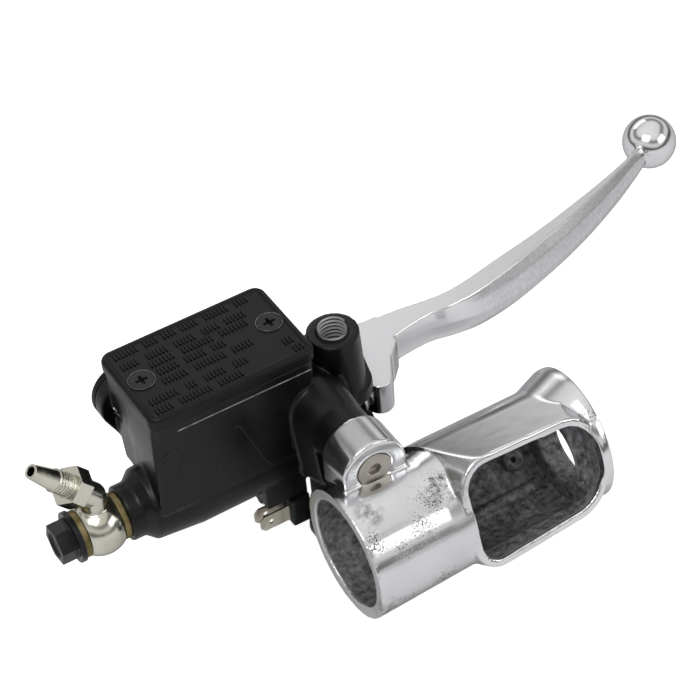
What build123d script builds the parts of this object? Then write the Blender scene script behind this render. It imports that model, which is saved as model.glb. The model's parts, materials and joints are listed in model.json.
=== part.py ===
"""Front brake master cylinder for a motorcycle handlebar, as an assembly.

Millimetres. The origin is the centre of the handlebar bore at the inboard face of the housing.
+X runs outboard along the bar, towards the ball of the lever, +Y runs forward, away from the rider,
and +Z is up, square to the reservoir cap. Each function makes one physical piece.
"""
from build123d import *
import math
import os

# Handlebar housing: a tube that takes the bar, with a switch window and a flared end
TUBE_BORE_R = 18.5
TUBE_R = 22.6
HOUSING_LENGTH = 87.0
WAIST_X = 30.0
WAIST_R = 21.2
POD_START_X = 37.0
POD_R = 21.6
POD_BORE_R = 19.5
POD_SHIFT = (0.3, 0.8)
FLARE_START_X = 76.0
FLARE_FULL_X = 84.5
FLARE_R = 22.8
FLARE_SHIFT = (0.4, 4.2)
END_WALL_X = 79.0
END_BORE_R = 11.4

# Switch window: its corners on a tilted plane, as X and distance up the plane, with corner radii
WINDOW_TILT = 20.0
WINDOW_FACE = 21.0
WINDOW_BACK = 12.0
WINDOW_RIM = 2.6
FRAME_DEPTH = 30.0
FRAME_SPREAD = 7.5
FRAME_ENDS = ((30.0, -18.3, 22.0), (HOUSING_LENGTH, -13.7, 20.3))
WINDOW_CORNERS = (
    (37.3, 19.3, 8.0),
    (83.5, 17.7, 11.0),
    (83.5, -11.2, 12.0),
    (37.3, -15.3, 6.0),
)

FIT_GAP = 0.05

# Screws that join the housing to the cylinder body
LUG_X = 15.4
LUG_Z = 25.8
LOWER_LUG_Z = -25.8
LUG_R = 11.2
LUG_FACE_Y = 3.5
JOINT_FACE_Y = 17.4
SCREW_R = 3.0
SCREW_HEAD_R = 6.1
SCREW_HEAD_DEPTH = 3.3
SCREW_LENGTH = 27.0
WEB_END_Y = 40.0
WEB_HALF = 6.0

# Hydraulic bore
BORE_Y = 48.4
BORE_Z = 8.8
BORE_R = 7.0
BORE_START_X = -36.0
BARREL_R = 13.0
BARREL_START_X = -45.5
BARREL_END_X = 29.8
EAR_END_X = 39.4
CUP_R = 6.96
NOSE_R = 3.8
NOSE_END_X = 37.5
STOP_X = 25.3

# Reservoir and cap
RES_X0 = -41.8
RES_X1 = 15.9
RES_Y0 = 37.0
RES_Y1 = 73.8
RES_TOP_Z = 47.4
RES_BOTTOM_Z = 9.0
RES_CORNER_R = 4.0
RES_WALL = 3.2
CAVITY_FLOOR_Z = 24.5
CAP_MARGIN = 0.5
CAP_TOP_Z = 52.0
CAP_EDGE_R = 1.6
CAP_SCREW_X = (-35.6, 10.0)
CAP_SCREW_Y = 56.0
CAP_POST_R = 4.4
# The near wall's panel, which leans out over the barrel: its bottom and top outlines
PANEL_Z = (12.8, 45.0)
PANEL_BOTTOM = ((-43.5, 35.3), (6.0, 35.3), (6.0, 46.0), (-41.2, 60.0), (-44.5, 36.3))
PANEL_TOP = ((-38.9, 37.1), (12.0, 37.1), (12.0, 46.0), (-41.6, 60.0), (-41.75, 40.2))

# Banjo joint
BOSS_R = 9.45
BOSS_END_X = -53.4
WASHER_R = 8.0
WASHER_THICKNESS = 2.0
EYE_WIDTH = 12.0
EYE_BALL_R = 10.0
BANJO_BOLT_R = 5.0
BANJO_FLANGE_R = 8.75
BANJO_HEX_AF = 12.0

# Mirror boss
MIRROR_X = 28.0
MIRROR_TOP_Z = 44.2
MIRROR_TOP_R = 8.6
MIRROR_FOOT_R = 9.6
MIRROR_HOLE_R = 5.0
MIRROR_HOLE_DEPTH = 20.0

# Shoulder: its outline in X and Z, then Y and the upper and lower circles (X, Z, radius) of its flare
SHOULDER = ((8, 0), (8, 37.5), (15.9, 38.0), (21.0, 34.5), (26.0, 26.0), (26.0, 0))
SHOULDER_FLARE = (
    (26.0, (LUG_X, LUG_Z, 9.6), (LUG_X, 8.0, 8.0)),
    (39.5, (14.6, 26.6, 11.4), (14.6, 6.0, 10.5)),
)

# Lever
PIVOT_X = 36.0
PIVOT_Y = 68.0
PIVOT_PIN_R = 4.0
BUSH_R = 5.5
ROOT_BOTTOM_Z = 3.6
ROOT_TOP_Z = 16.0
UPPER_EAR_Z = (16.4, 21.6)
LOWER_EAR_Z = (-2.4, 3.2)
EAR_R = 8.4
BALL_R = 9.8
BALL_CENTER = (189.6, 102.7, 9.6)
LEVER_FAN = ((40, 76), (50.5, 74.4), (64, 73.6), (64, 63.2), (56.5, 59.5), (52.0, 54.5), (42, 60))

# Sight glass
SIGHT_X = -34.6
SIGHT_Z = 30.4
SIGHT_R = 10.8
SIGHT_FACE_Y = 79.0

# Brake light switch, under the barrel
SWITCH_X0 = -0.4
SWITCH_Y0 = 34.6
SWITCH_Z0 = -17.5
SWITCH_TOP_Z = -6.5
SWITCH_SCREW = (-4.6, 44.5)
BLADE_Z = -12.2
BLADE_Y = (36.8, 40.8)
PLUNGER_Y = 56.0
PLUNGER_Z = -7.2
PLUNGER_R = 1.3
PLUNGER_END_X = 40.0


def cylinder(radius, start, end, axis):
    """A round bar from start to end, both points on its axis, which is 'x', 'y' or 'z'."""
    direction = {"x": (1, 0, 0), "y": (0, 1, 0), "z": (0, 0, 1)}[axis]
    length = (Vector(*end) - Vector(*start)).length
    plane = Plane(origin=start, z_dir=direction)
    return extrude(plane * Circle(radius), amount=length)


def box(low, high):
    """A box between two corners."""
    size = [b - a for a, b in zip(low, high)]
    middle = [(a + b) / 2 for a, b in zip(low, high)]
    return Pos(*middle) * Box(*size)


def bore_x(radius, x0, x1):
    """A round bar on the axis of the hydraulic bore."""
    return cylinder(radius, (x0, BORE_Y, BORE_Z), (x1, BORE_Y, BORE_Z), "x")


def cone_x(r0, r1, x0, x1):
    """A round bar on the axis of the hydraulic bore that changes radius from r0 to r1."""
    low = Plane(origin=(x0, BORE_Y, BORE_Z), z_dir=(1, 0, 0)) * Circle(r0)
    high = Plane(origin=(x1, BORE_Y, BORE_Z), z_dir=(1, 0, 0)) * Circle(r1)
    return loft([low, high])


def countersunk_screw(radius, head_r, head_depth, length, socket):
    """A screw with its flat head at the origin and its shank along -Z."""
    head = Pos(0, 0, -head_depth / 2) * Cone(radius, head_r, head_depth)
    shank = Pos(0, 0, -length / 2) * Cylinder(radius, length)
    return head + shank - socket


def rounded_block(x0, x1, y0, y1, z0, z1, corner):
    """An upright block with round vertical corners."""
    outline = Pos((x0 + x1) / 2, (y0 + y1) / 2, z0) * RectangleRounded(x1 - x0, y1 - y0, corner)
    return extrude(outline, amount=z1 - z0)


# ---------------------------------------------------------------- cylinder body


def reservoir_walls():
    """The outside of the reservoir, a little narrower at the bottom, as it leaves its mould."""
    draft = 1.4
    middle = ((RES_X0 + RES_X1) / 2, (RES_Y0 + RES_Y1) / 2)
    length = RES_X1 - RES_X0
    width = RES_Y1 - RES_Y0
    top = Pos(*middle, RES_TOP_Z) * RectangleRounded(length, width, RES_CORNER_R)
    bottom = Pos(*middle, RES_BOTTOM_Z) * RectangleRounded(
        length - 2 * draft, width - 2 * draft, RES_CORNER_R - 1
    )
    return loft([bottom, top])


def reservoir_cavity():
    """The fluid space, with posts left standing for the two cap screws."""
    cavity = rounded_block(
        RES_X0 + RES_WALL,
        RES_X1 - RES_WALL,
        RES_Y0 + RES_WALL,
        RES_Y1 - RES_WALL,
        CAVITY_FLOOR_Z,
        RES_TOP_Z + 1,
        2.5,
    )
    for x, side in zip(CAP_SCREW_X, (-1, 1)):
        post = Pos(x, CAP_SCREW_Y, (CAVITY_FLOOR_Z + RES_TOP_Z) / 2) * Cylinder(
            CAP_POST_R, RES_TOP_Z - CAVITY_FLOOR_Z + 4
        )
        edge = x + side * 8
        web = box(
            (min(x, edge), CAP_SCREW_Y - CAP_POST_R, CAVITY_FLOOR_Z - 2),
            (max(x, edge), CAP_SCREW_Y + CAP_POST_R, RES_TOP_Z + 2),
        )
        cavity -= post + web
    return cavity


def barrel():
    """The round barrel round the hydraulic bore, and the banjo boss on its closed end."""
    tube = cone_x(12.3, 13.6, BARREL_START_X, -30) + cone_x(13.6, BARREL_R, -30, BARREL_END_X)
    boss = bore_x(BOSS_R, BOSS_END_X, BARREL_START_X + 6)
    neck = cone_x(BOSS_R, 12.3, BARREL_START_X - 3.2, BARREL_START_X)
    belly = box(
        (-42.0, RES_Y0 + 2.5, 2.0), (14.0, BORE_Y + 13.0, 14.0)
    )
    return tube + boss + neck + belly


def lever_ears():
    """Two plates above and below the lever, hulled from the barrel's end to the pivot."""
    outline = make_hull(
        (
            Pos(PIVOT_X, PIVOT_Y) * Circle(EAR_R)
            + Pos(30.4, BORE_Y) * Circle(9.0)
            + Pos(14.0, 60.0) * Circle(7.0)
        ).edges()
    )
    plates = [
        Pos(0, 0, low) * extrude(outline, amount=high - low)
        for low, high in (UPPER_EAR_Z, LOWER_EAR_Z)
    ]
    back = make_hull(
        (Pos(14.0, 60.0) * Circle(7.0) + Pos(20.0, 68.5) * Circle(4.0) + Pos(12, 50) * Circle(8)).edges()
    )
    bridge = Pos(0, 0, LOWER_EAR_Z[0]) * extrude(back, amount=UPPER_EAR_Z[1] - LOWER_EAR_Z[0])
    return plates[0] + plates[1] + bridge


def mirror_boss():
    """The upright boss for the mirror stem, standing on the barrel's open end."""
    foot = Pos(MIRROR_X, BORE_Y, BORE_Z + 4) * Circle(MIRROR_FOOT_R)
    top = Pos(MIRROR_X, BORE_Y, MIRROR_TOP_Z) * Circle(MIRROR_TOP_R)
    return loft([foot, top])


def wall_panel():
    """The flat lower part of the near wall, which leans out over the barrel."""
    outlines = [
        Pos(0, 0, z) * make_face(Polyline(*corners, close=True))
        for z, corners in zip(PANEL_Z, (PANEL_BOTTOM, PANEL_TOP))
    ]
    return loft(outlines, ruled=True)


def shoulder():
    """The web from the reservoir's outboard wall to the mirror boss, flared towards the housing."""
    outline = Plane.XZ * make_face(Polyline(*SHOULDER, close=True))
    web = Pos(0, RES_Y0 + 3.0, 0) * extrude(outline, amount=-20)
    sections = []
    for y, *circles in SHOULDER_FLARE:
        rounds = [Pos(x, -z) * Circle(radius) for x, z, radius in circles]
        hull = make_hull((rounds[0] + rounds[1]).edges())
        sections.append(Plane(origin=(0, y, 0), x_dir=(1, 0, 0), z_dir=(0, 1, 0)) * hull)
    return web + loft(sections)


def joint_lugs():
    """The two round bosses that reach back to the housing, and the web between them."""
    upper = cylinder(9.6, (LUG_X, JOINT_FACE_Y, LUG_Z), (LUG_X, BORE_Y, LUG_Z), "y")
    lower = cylinder(8.4, (LUG_X, JOINT_FACE_Y, LOWER_LUG_Z), (LUG_X, WEB_END_Y, LOWER_LUG_Z), "y")
    web = box(
        (LUG_X - WEB_HALF, JOINT_FACE_Y + 4, LOWER_LUG_Z), (LUG_X + WEB_HALF, WEB_END_Y, LUG_Z - 4)
    )
    return upper + lower + web


def sight_glass_boss():
    """The round boss round the sight glass, drawn out downwards along the far wall."""
    outline = make_hull(
        (Pos(SIGHT_X, -SIGHT_Z) * Circle(SIGHT_R) + Pos(SIGHT_X + 3, -14.0) * Circle(6.0)).edges()
    )
    return Pos(0, 71, 0) * Rot(-90, 0, 0) * extrude(outline, amount=5.0)


def cylinder_body():
    """The whole casting, bored, ported and drilled."""
    body = reservoir_walls() + barrel() + mirror_boss() + shoulder() + lever_ears() + joint_lugs()
    body += sight_glass_boss() + wall_panel()
    body += box((SWITCH_SCREW[0] - 3.6, SWITCH_Y0 + 1.4, SWITCH_TOP_Z + 0.1), (6.5, 45.8, 4.0))
    # Notch in the lower ear for the lever's switch tab
    body -= box((33.6, 51.8, LOWER_EAR_Z[0] - 1), (60, 59.6, LOWER_EAR_Z[1]))
    # Lever slot, and room for the pusher at full travel
    body -= box((BARREL_END_X, 30, LOWER_EAR_Z[1]), (60, 90, UPPER_EAR_Z[0]))
    slot = make_hull(
        (Pos(PIVOT_X, PIVOT_Y) * Circle(EAR_R + 1.6) + Pos(60, 66) * Circle(20)).edges()
    )
    body -= Pos(0, 0, LOWER_EAR_Z[1]) * extrude(slot, amount=UPPER_EAR_Z[0] - LOWER_EAR_Z[1])
    # Fluid spaces
    body -= reservoir_cavity()
    body -= bore_x(BORE_R, BORE_START_X, BARREL_END_X + 1)
    body -= bore_x(8.6, STOP_X, EAR_END_X + 2)
    body -= bore_x(9.3, STOP_X + 1.4, STOP_X + 2.8)
    body -= bore_x(BANJO_BOLT_R, BOSS_END_X - 1, -41.0)
    body -= bore_x(1.5, -42.0, BORE_START_X + 1)
    for x, radius in ((-10.5, 0.6), (4.0, 1.6)):
        body -= cylinder(radius, (x, BORE_Y, BORE_Z + 2), (x, BORE_Y, CAVITY_FLOOR_Z + 1), "z")
    # Cap screw holes, sight glass, mirror thread, pivot, housing screws and switch screw
    for x in CAP_SCREW_X:
        body -= cylinder(2.0, (x, CAP_SCREW_Y, RES_TOP_Z - 11), (x, CAP_SCREW_Y, RES_TOP_Z + 1), "z")
    body -= cylinder(6.5, (SIGHT_X, 66, SIGHT_Z), (SIGHT_X, 77, SIGHT_Z), "y")
    body -= cylinder(9.0, (SIGHT_X, 73.4, SIGHT_Z), (SIGHT_X, 77, SIGHT_Z), "y")
    body -= cylinder(
        MIRROR_HOLE_R,
        (MIRROR_X, BORE_Y, MIRROR_TOP_Z - MIRROR_HOLE_DEPTH),
        (MIRROR_X, BORE_Y, MIRROR_TOP_Z + 1),
        "z",
    )
    body -= cylinder(PIVOT_PIN_R + FIT_GAP, (PIVOT_X, PIVOT_Y, -10), (PIVOT_X, PIVOT_Y, 40), "z")
    for z in (LUG_Z, LOWER_LUG_Z):
        body -= cylinder(
            SCREW_R, (LUG_X, JOINT_FACE_Y - 1, z), (LUG_X, LUG_FACE_Y + SCREW_LENGTH + 2, z), "y"
        )
    body -= cylinder(1.5, (*SWITCH_SCREW, SWITCH_TOP_Z - 1), (*SWITCH_SCREW, 0.0), "z")
    # Room for the housing tube
    body -= cylinder(TUBE_R + 0.6, (-5, 0, 0), (120, 0, 0), "x")
    return body


# ---------------------------------------------------------------- reservoir top


def reservoir_cap():
    """A moulded cap: rounded edges, a hollow underside and two countersunk holes."""
    x0, x1 = RES_X0 - CAP_MARGIN, RES_X1 + CAP_MARGIN
    y0, y1 = RES_Y0 - CAP_MARGIN, RES_Y1 + CAP_MARGIN
    cap = rounded_block(x0, x1, y0, y1, RES_TOP_Z + 0.1, CAP_TOP_Z, RES_CORNER_R)
    cap = fillet(cap.faces().sort_by(Axis.Z)[-1].edges(), CAP_EDGE_R)
    cap -= rounded_block(x0 + 2.2, x1 - 2.2, y0 + 2.2, y1 - 2.2, RES_TOP_Z - 1, RES_TOP_Z + 2.6, 2.2)
    for x in CAP_SCREW_X:
        cap += cylinder(CAP_POST_R, (x, CAP_SCREW_Y, RES_TOP_Z + 2.55), (x, CAP_SCREW_Y, 51), "z")
        cap -= cylinder(2.1, (x, CAP_SCREW_Y, RES_TOP_Z - 1), (x, CAP_SCREW_Y, 53), "z")
        cap -= Pos(x, CAP_SCREW_Y, CAP_TOP_Z - 1.1) * Cone(2.1, 4.35, 2.25)
    return cap


def cap_plate():
    """The stiff plate that presses the diaphragm's rim down."""
    plate = rounded_block(
        RES_X0 + 2.1, RES_X1 - 2.1, RES_Y0 + 2.1, RES_Y1 - 2.1, RES_TOP_Z + 1.5, RES_TOP_Z + 2.5, 2.0
    )
    plate -= rounded_block(
        RES_X0 + 12.5, RES_X1 - 12.5, RES_Y0 + 6.5, RES_Y1 - 6.5, RES_TOP_Z, RES_TOP_Z + 4, 2.0
    )
    for x in CAP_SCREW_X:
        plate -= cylinder(2.3, (x, CAP_SCREW_Y, RES_TOP_Z), (x, CAP_SCREW_Y, 52), "z")
    return plate


def diaphragm():
    """The rubber diaphragm: a flat rim, and a thin pan that hangs into the fluid space."""
    rim = rounded_block(
        RES_X0 + 2.1, RES_X1 - 2.1, RES_Y0 + 2.1, RES_Y1 - 2.1, RES_TOP_Z + 0.02, RES_TOP_Z + 1.45, 2.0
    )
    x0, x1, y0, y1 = -27.5, 2.5, RES_Y0 + 5.5, RES_Y1 - 5.5
    pan = rounded_block(x0, x1, y0, y1, RES_TOP_Z - 11, RES_TOP_Z + 1.0, 3.0)
    hollow = rounded_block(x0 + 1.2, x1 - 1.2, y0 + 1.2, y1 - 1.2, RES_TOP_Z - 9.8, RES_TOP_Z + 3, 2.0)
    piece = rim + pan - hollow
    for x in CAP_SCREW_X:
        piece -= cylinder(2.3, (x, CAP_SCREW_Y, RES_TOP_Z - 2), (x, CAP_SCREW_Y, 52), "z")
    return piece


def cap_screws():
    """Two countersunk cross-head screws."""
    cross = Pos(0, 0, -0.9) * (Box(4.2, 1.0, 1.9) + Box(1.0, 4.2, 1.9))
    screw = countersunk_screw(1.95, 4.2, 2.1, 13.0, cross)
    return [Pos(x, CAP_SCREW_Y, CAP_TOP_Z - 0.1) * screw for x in CAP_SCREW_X]


def port_shield():
    """The small spring-steel shield over the compensating port."""
    low_z = CAVITY_FLOOR_Z + 1.6
    plate = rounded_block(-15.5, -5.5, BORE_Y - 5, BORE_Y + 5, low_z, low_z + 0.6, 1.5)
    for y in (BORE_Y - 4.4, BORE_Y + 4.4):
        plate += box((-13, y - 0.4, CAVITY_FLOOR_Z), (-8, y + 0.4, CAVITY_FLOOR_Z + 2.0))
    return plate


# ---------------------------------------------------------------- sight glass


def sight_glass_bezel():
    """The ring that holds the sight glass in the far wall."""
    ring = cylinder(SIGHT_R, (SIGHT_X, 76.05, SIGHT_Z), (SIGHT_X, SIGHT_FACE_Y, SIGHT_Z), "y")
    ring = fillet(ring.faces().sort_by(Axis.Y)[-1].edges(), 1.0)
    ring += cylinder(8.9, (SIGHT_X, 75.4, SIGHT_Z), (SIGHT_X, 77.0, SIGHT_Z), "y")
    ring -= cylinder(7.2, (SIGHT_X, 70, SIGHT_Z), (SIGHT_X, 90, SIGHT_Z), "y")
    return ring


def sight_glass_lens():
    """The round clear window."""
    return cylinder(8.85, (SIGHT_X, 74.1, SIGHT_Z), (SIGHT_X, 75.35, SIGHT_Z), "y") + cylinder(
        7.1, (SIGHT_X, 74.5, SIGHT_Z), (SIGHT_X, 77.6, SIGHT_Z), "y"
    )


def sight_glass_seal():
    """The flat rubber ring under the glass."""
    disc = cylinder(8.85, (SIGHT_X, 73.45, SIGHT_Z), (SIGHT_X, 74.05, SIGHT_Z), "y")
    return disc - cylinder(6.6, (SIGHT_X, 73, SIGHT_Z), (SIGHT_X, 75, SIGHT_Z), "y")


# ---------------------------------------------------------------- banjo joint

INNER_WASHER_X = BOSS_END_X - WASHER_THICKNESS - FIT_GAP
EYE_MID_X = INNER_WASHER_X - FIT_GAP - EYE_WIDTH / 2
OUTER_WASHER_X = EYE_MID_X - EYE_WIDTH / 2 - FIT_GAP - WASHER_THICKNESS
FLANGE_X = OUTER_WASHER_X - FIT_GAP - 1.8
COLLAR_POINT = (EYE_MID_X, BORE_Y, BORE_Z + 13.5)
NECK_ANGLE = 40.0
NIPPLE_LENGTH = 27.4


def crush_washer(x):
    """A soft copper sealing washer."""
    return bore_x(WASHER_R, x, x + WASHER_THICKNESS) - bore_x(BANJO_BOLT_R + 0.15, x - 1, x + 4)


def banjo_bolt():
    """The hollow bolt that clamps the hose fitting and carries the fluid through it."""
    bolt = bore_x(BANJO_BOLT_R - FIT_GAP, FLANGE_X, -42.5)
    bolt += bore_x(BANJO_FLANGE_R, FLANGE_X, FLANGE_X + 1.8)
    hexagon = Plane(origin=(FLANGE_X - 5.6, BORE_Y, BORE_Z), z_dir=(1, 0, 0)) * RegularPolygon(
        BANJO_HEX_AF / 2, 6, major_radius=False, rotation=20
    )
    bolt += extrude(hexagon, amount=5.8)
    bolt -= bore_x(1.6, EYE_MID_X - 2, -40)
    bolt -= cylinder(1.2, (EYE_MID_X, BORE_Y, BORE_Z - 8), (EYE_MID_X, BORE_Y, BORE_Z + 8), "z")
    return bolt


def collar_plane(distance):
    """A plane across the bent neck, at a distance along it from the bend."""
    lean = math.radians(NECK_ANGLE)
    direction = Vector(-math.sin(lean), 0, math.cos(lean))
    return Plane(origin=Vector(*COLLAR_POINT) + direction * distance, z_dir=direction)


def banjo_fitting():
    """The ball-shaped eye and its bent neck."""
    eye = Pos(EYE_MID_X, BORE_Y, BORE_Z) * Sphere(EYE_BALL_R)
    eye = eye & bore_x(EYE_BALL_R + 1, EYE_MID_X - EYE_WIDTH / 2, EYE_MID_X + EYE_WIDTH / 2)
    neck = cylinder(4.4, (EYE_MID_X, BORE_Y, BORE_Z + 7), COLLAR_POINT, "z")
    knee = Pos(*COLLAR_POINT) * Sphere(4.4)
    branch = extrude(collar_plane(0) * Circle(4.4), amount=6.0)
    piece = eye + neck + knee + branch
    piece -= bore_x(BANJO_BOLT_R + 0.15, EYE_MID_X - 10, EYE_MID_X + 10)
    piece -= bore_x(6.2, EYE_MID_X - 2.2, EYE_MID_X + 2.2)
    piece -= cylinder(1.6, (EYE_MID_X, BORE_Y, BORE_Z + 4), COLLAR_POINT, "z")
    piece -= Pos(*COLLAR_POINT) * Sphere(1.6)
    piece -= extrude(collar_plane(0) * Circle(1.6), amount=7.0)
    return piece


def hose_nipple():
    """The hex collar and the tapered nipple that a hose is pushed on to."""
    collar = extrude(
        collar_plane(6.05) * RegularPolygon(6.0, 6, major_radius=False, rotation=15), amount=5.5
    )
    base = extrude(collar_plane(11.5) * Circle(3.9), amount=6.0)
    taper = loft([collar_plane(17.4) * Circle(3.5), collar_plane(NIPPLE_LENGTH) * Circle(2.4)])
    piece = collar + base + taper
    for step in range(4):
        groove = extrude(collar_plane(12.6 + step * 1.2) * Circle(5.0), amount=0.5)
        groove -= extrude(collar_plane(12.0 + step * 1.2) * Circle(3.45), amount=2.0)
        piece -= groove
    return piece - extrude(collar_plane(5.0) * Circle(1.6), amount=27.0)


# ---------------------------------------------------------------- inside the bore


def piston():
    """The piston: two lands, a waist between them, a seal groove and a nose for the lever."""
    rear = STOP_X - FIT_GAP
    body = bore_x(CUP_R, -4.0, -1.0) + bore_x(4.2, -1.5, rear - 7.4)
    body += bore_x(CUP_R, rear - 7.8, rear - 6.0)
    body += bore_x(5.0, rear - 6.5, rear - 1.5) + bore_x(CUP_R, rear - 2.0, rear)
    nose = bore_x(NOSE_R, rear - 0.5, NOSE_END_X - 1.5)
    nose += cone_x(NOSE_R, 2.6, NOSE_END_X - 1.5, NOSE_END_X)
    tip = bore_x(2.2, -7.0, -3.5)
    return body + nose + tip


def primary_cup():
    """The rubber pressure cup in front of the piston, hollow towards the fluid."""
    cup = bore_x(CUP_R, -9.0, -4.05)
    cup -= cone_x(6.1, 4.0, -9.1, -6.4)
    return cup - bore_x(2.3, -10, -3)


def secondary_cup():
    """The rubber seal in the piston's rear groove."""
    start = STOP_X - FIT_GAP - 5.95
    ring = bore_x(CUP_R, start, start + 3.9) - bore_x(5.05, start - 1, start + 5)
    lip = bore_x(6.6, start - 0.1, start + 1.4) - bore_x(5.9, start - 0.2, start + 1.5)
    return ring - lip


def return_spring():
    """The coil spring between the closed end of the bore and the primary cup."""
    length = 26.4
    turns = 9
    coil_r = 5.2
    wire_r = 0.6
    path = Helix(pitch=length / turns, height=length, radius=coil_r)
    section = Plane(origin=path @ 0, z_dir=path % 0) * Circle(wire_r)
    coil = sweep(section, path=path)
    place = Plane(origin=(BORE_START_X + wire_r + 0.05, BORE_Y, BORE_Z), z_dir=(1, 0, 0))
    return place * coil


def stop_washer():
    """The washer that the piston rests against."""
    return bore_x(8.5, STOP_X + FIT_GAP, STOP_X + 1.25) - bore_x(NOSE_R + 0.1, 20, 40)


def snap_ring():
    """The internal ring that keeps the stop washer in."""
    start = STOP_X + 1.45
    ring = bore_x(9.2, start, start + 1.25) - bore_x(7.2, start - 1, start + 2)
    gap = box((start - 1, BORE_Y - 2.5, BORE_Z - 12), (start + 2, BORE_Y + 2.5, BORE_Z - 4))
    return ring - gap


def dust_boot():
    """The bellows between the mouth of the bore and the nose of the piston."""
    start = STOP_X + 2.9
    boot = bore_x(8.4, start, start + 1.4)
    for step, large in ((1.2, 6.9), (3.0, 6.4), (4.8, 5.9)):
        fold = start + step
        boot += cone_x(large - 1.1, large, fold, fold + 0.9)
        boot += cone_x(large, large - 1.1, fold + 0.9, fold + 1.9)
    return boot - bore_x(NOSE_R + 0.12, 20, 40)


# ---------------------------------------------------------------- lever


def lever_stations():
    """Centre X, centre Y, thickness and height of the lever's blade, from root to ball."""
    return (
        (62.0, 68.4, 10.2, 12.4),
        (72.0, 68.0, 7.6, 13.2),
        (81.0, 67.3, 7.8, 14.6),
        (92.0, 67.3, 10.0, 16.4),
        (108.0, 70.2, 11.6, 17.6),
        (126.0, 75.0, 11.4, 17.4),
        (143.0, 80.6, 10.4, 16.0),
        (160.0, 87.0, 8.8, 14.0),
        (173.0, 93.0, 7.4, 11.6),
        (184.0, 99.2, 6.6, 9.0),
    )


def lever():
    """The forged lever: root with pivot eye and pusher, curved blade, ball end."""
    stations = lever_stations()
    sections = []
    for index, (x, y, thickness, height) in enumerate(stations):
        before = stations[max(index - 1, 0)]
        after = stations[min(index + 1, len(stations) - 1)]
        along = Vector(after[0] - before[0], after[1] - before[1], 0).normalized()
        z = ROOT_TOP_Z - height / 2 - 0.02 * max(x - 92.0, 0)
        plane = Plane(origin=(x, y, z), x_dir=along.rotate(Axis.Z, 90), z_dir=along)
        sections.append(plane * RectangleRounded(thickness, height, 2.6))
    blade = loft(sections, ruled=True)
    root = make_hull(
        (Pos(PIVOT_X, PIVOT_Y) * Circle(8.0) + Pos(44.5, 70.0) * Circle(5.5)).edges()
    )
    arm = make_hull((Pos(48.2, 63.0) * Circle(7.0) + Pos(42.4, 47.8) * Circle(4.6)).edges())
    fan = make_face(Polyline(*LEVER_FAN, close=True))
    plan = root + arm + fan
    piece = Pos(0, 0, ROOT_BOTTOM_Z) * extrude(plan, amount=ROOT_TOP_Z - ROOT_BOTTOM_Z)
    piece += blade
    piece += box((40.4, 54.4, PLUNGER_Z - 1.6), (42.4, 58.4, ROOT_BOTTOM_Z + 1))
    piece += Pos(*BALL_CENTER) * Sphere(BALL_R)
    piece -= cylinder(BUSH_R, (PIVOT_X, PIVOT_Y, 0), (PIVOT_X, PIVOT_Y, 20), "z")
    return piece


def pivot_bush():
    """The bronze bush pressed into the lever's eye."""
    bush = cylinder(
        BUSH_R, (PIVOT_X, PIVOT_Y, ROOT_BOTTOM_Z), (PIVOT_X, PIVOT_Y, ROOT_TOP_Z), "z"
    )
    return bush - cylinder(PIVOT_PIN_R + FIT_GAP, (PIVOT_X, PIVOT_Y, 0), (PIVOT_X, PIVOT_Y, 20), "z")


def pivot_bolt():
    """The lever's pivot bolt, with a slotted round head on the upper ear."""
    top = UPPER_EAR_Z[1] + FIT_GAP
    shank = cylinder(PIVOT_PIN_R, (PIVOT_X, PIVOT_Y, -9.4), (PIVOT_X, PIVOT_Y, top + 1), "z")
    head = cylinder(6.5, (PIVOT_X, PIVOT_Y, top), (PIVOT_X, PIVOT_Y, top + 3.2), "z")
    slot = box((PIVOT_X - 8, PIVOT_Y - 0.7, top + 1.8), (PIVOT_X + 8, PIVOT_Y + 0.7, top + 4))
    return shank + head - slot


def pivot_nut():
    """The lock nut under the lower ear."""
    plane = Plane(origin=(PIVOT_X, PIVOT_Y, LOWER_EAR_Z[0] - FIT_GAP), z_dir=(0, 0, -1))
    nut = extrude(plane * RegularPolygon(5.5, 6, major_radius=False), amount=5.0)
    return nut - cylinder(PIVOT_PIN_R + FIT_GAP, (PIVOT_X, PIVOT_Y, -12), (PIVOT_X, PIVOT_Y, 0), "z")


# ---------------------------------------------------------------- housing


def window_plane(distance):
    """A plane that faces the rider, tilted up, at a distance from the bar's axis."""
    lean = math.radians(WINDOW_TILT)
    direction = Vector(0, -math.cos(lean), math.sin(lean))
    return Plane(origin=direction * distance, x_dir=(1, 0, 0), z_dir=direction)


def window_outline(margin):
    """The window's rounded outline, grown outwards by a margin."""
    middle_x = sum(x for x, _, _ in WINDOW_CORNERS) / 4
    middle_up = sum(up for _, up, _ in WINDOW_CORNERS) / 4
    corners = [
        (x + math.copysign(margin, x - middle_x), up + math.copysign(margin, up - middle_up))
        for x, up, _ in WINDOW_CORNERS
    ]
    face = make_face(Polyline(*corners, close=True))
    for corner, (_, _, radius) in zip(corners, WINDOW_CORNERS):
        vertex = face.vertices().sort_by_distance((*corner, 0))[0]
        face = fillet(vertex, radius + margin)
    return face


def ring_section(x, radius, shift=(0, 0)):
    """A round section across the housing, with its middle shifted off the bar's axis."""
    return Plane(origin=(x, *shift), z_dir=(1, 0, 0)) * Circle(radius)


def pod_section(x, low, high):
    """The pod's round wall carried out in straight lines to the window's rim."""
    plane = window_plane(WINDOW_FACE)
    lower, upper = (plane.from_local_coords(Vector(0, up, 0)) for up in (low, high))
    rim = Line((lower.Y, lower.Z), (upper.Y, upper.Z))
    outline = make_hull((Pos(*POD_SHIFT) * Circle(POD_R)).edges() + rim.edges())
    return Plane(origin=(x, 0, 0), x_dir=(0, 1, 0), z_dir=(1, 0, 0)) * outline


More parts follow.
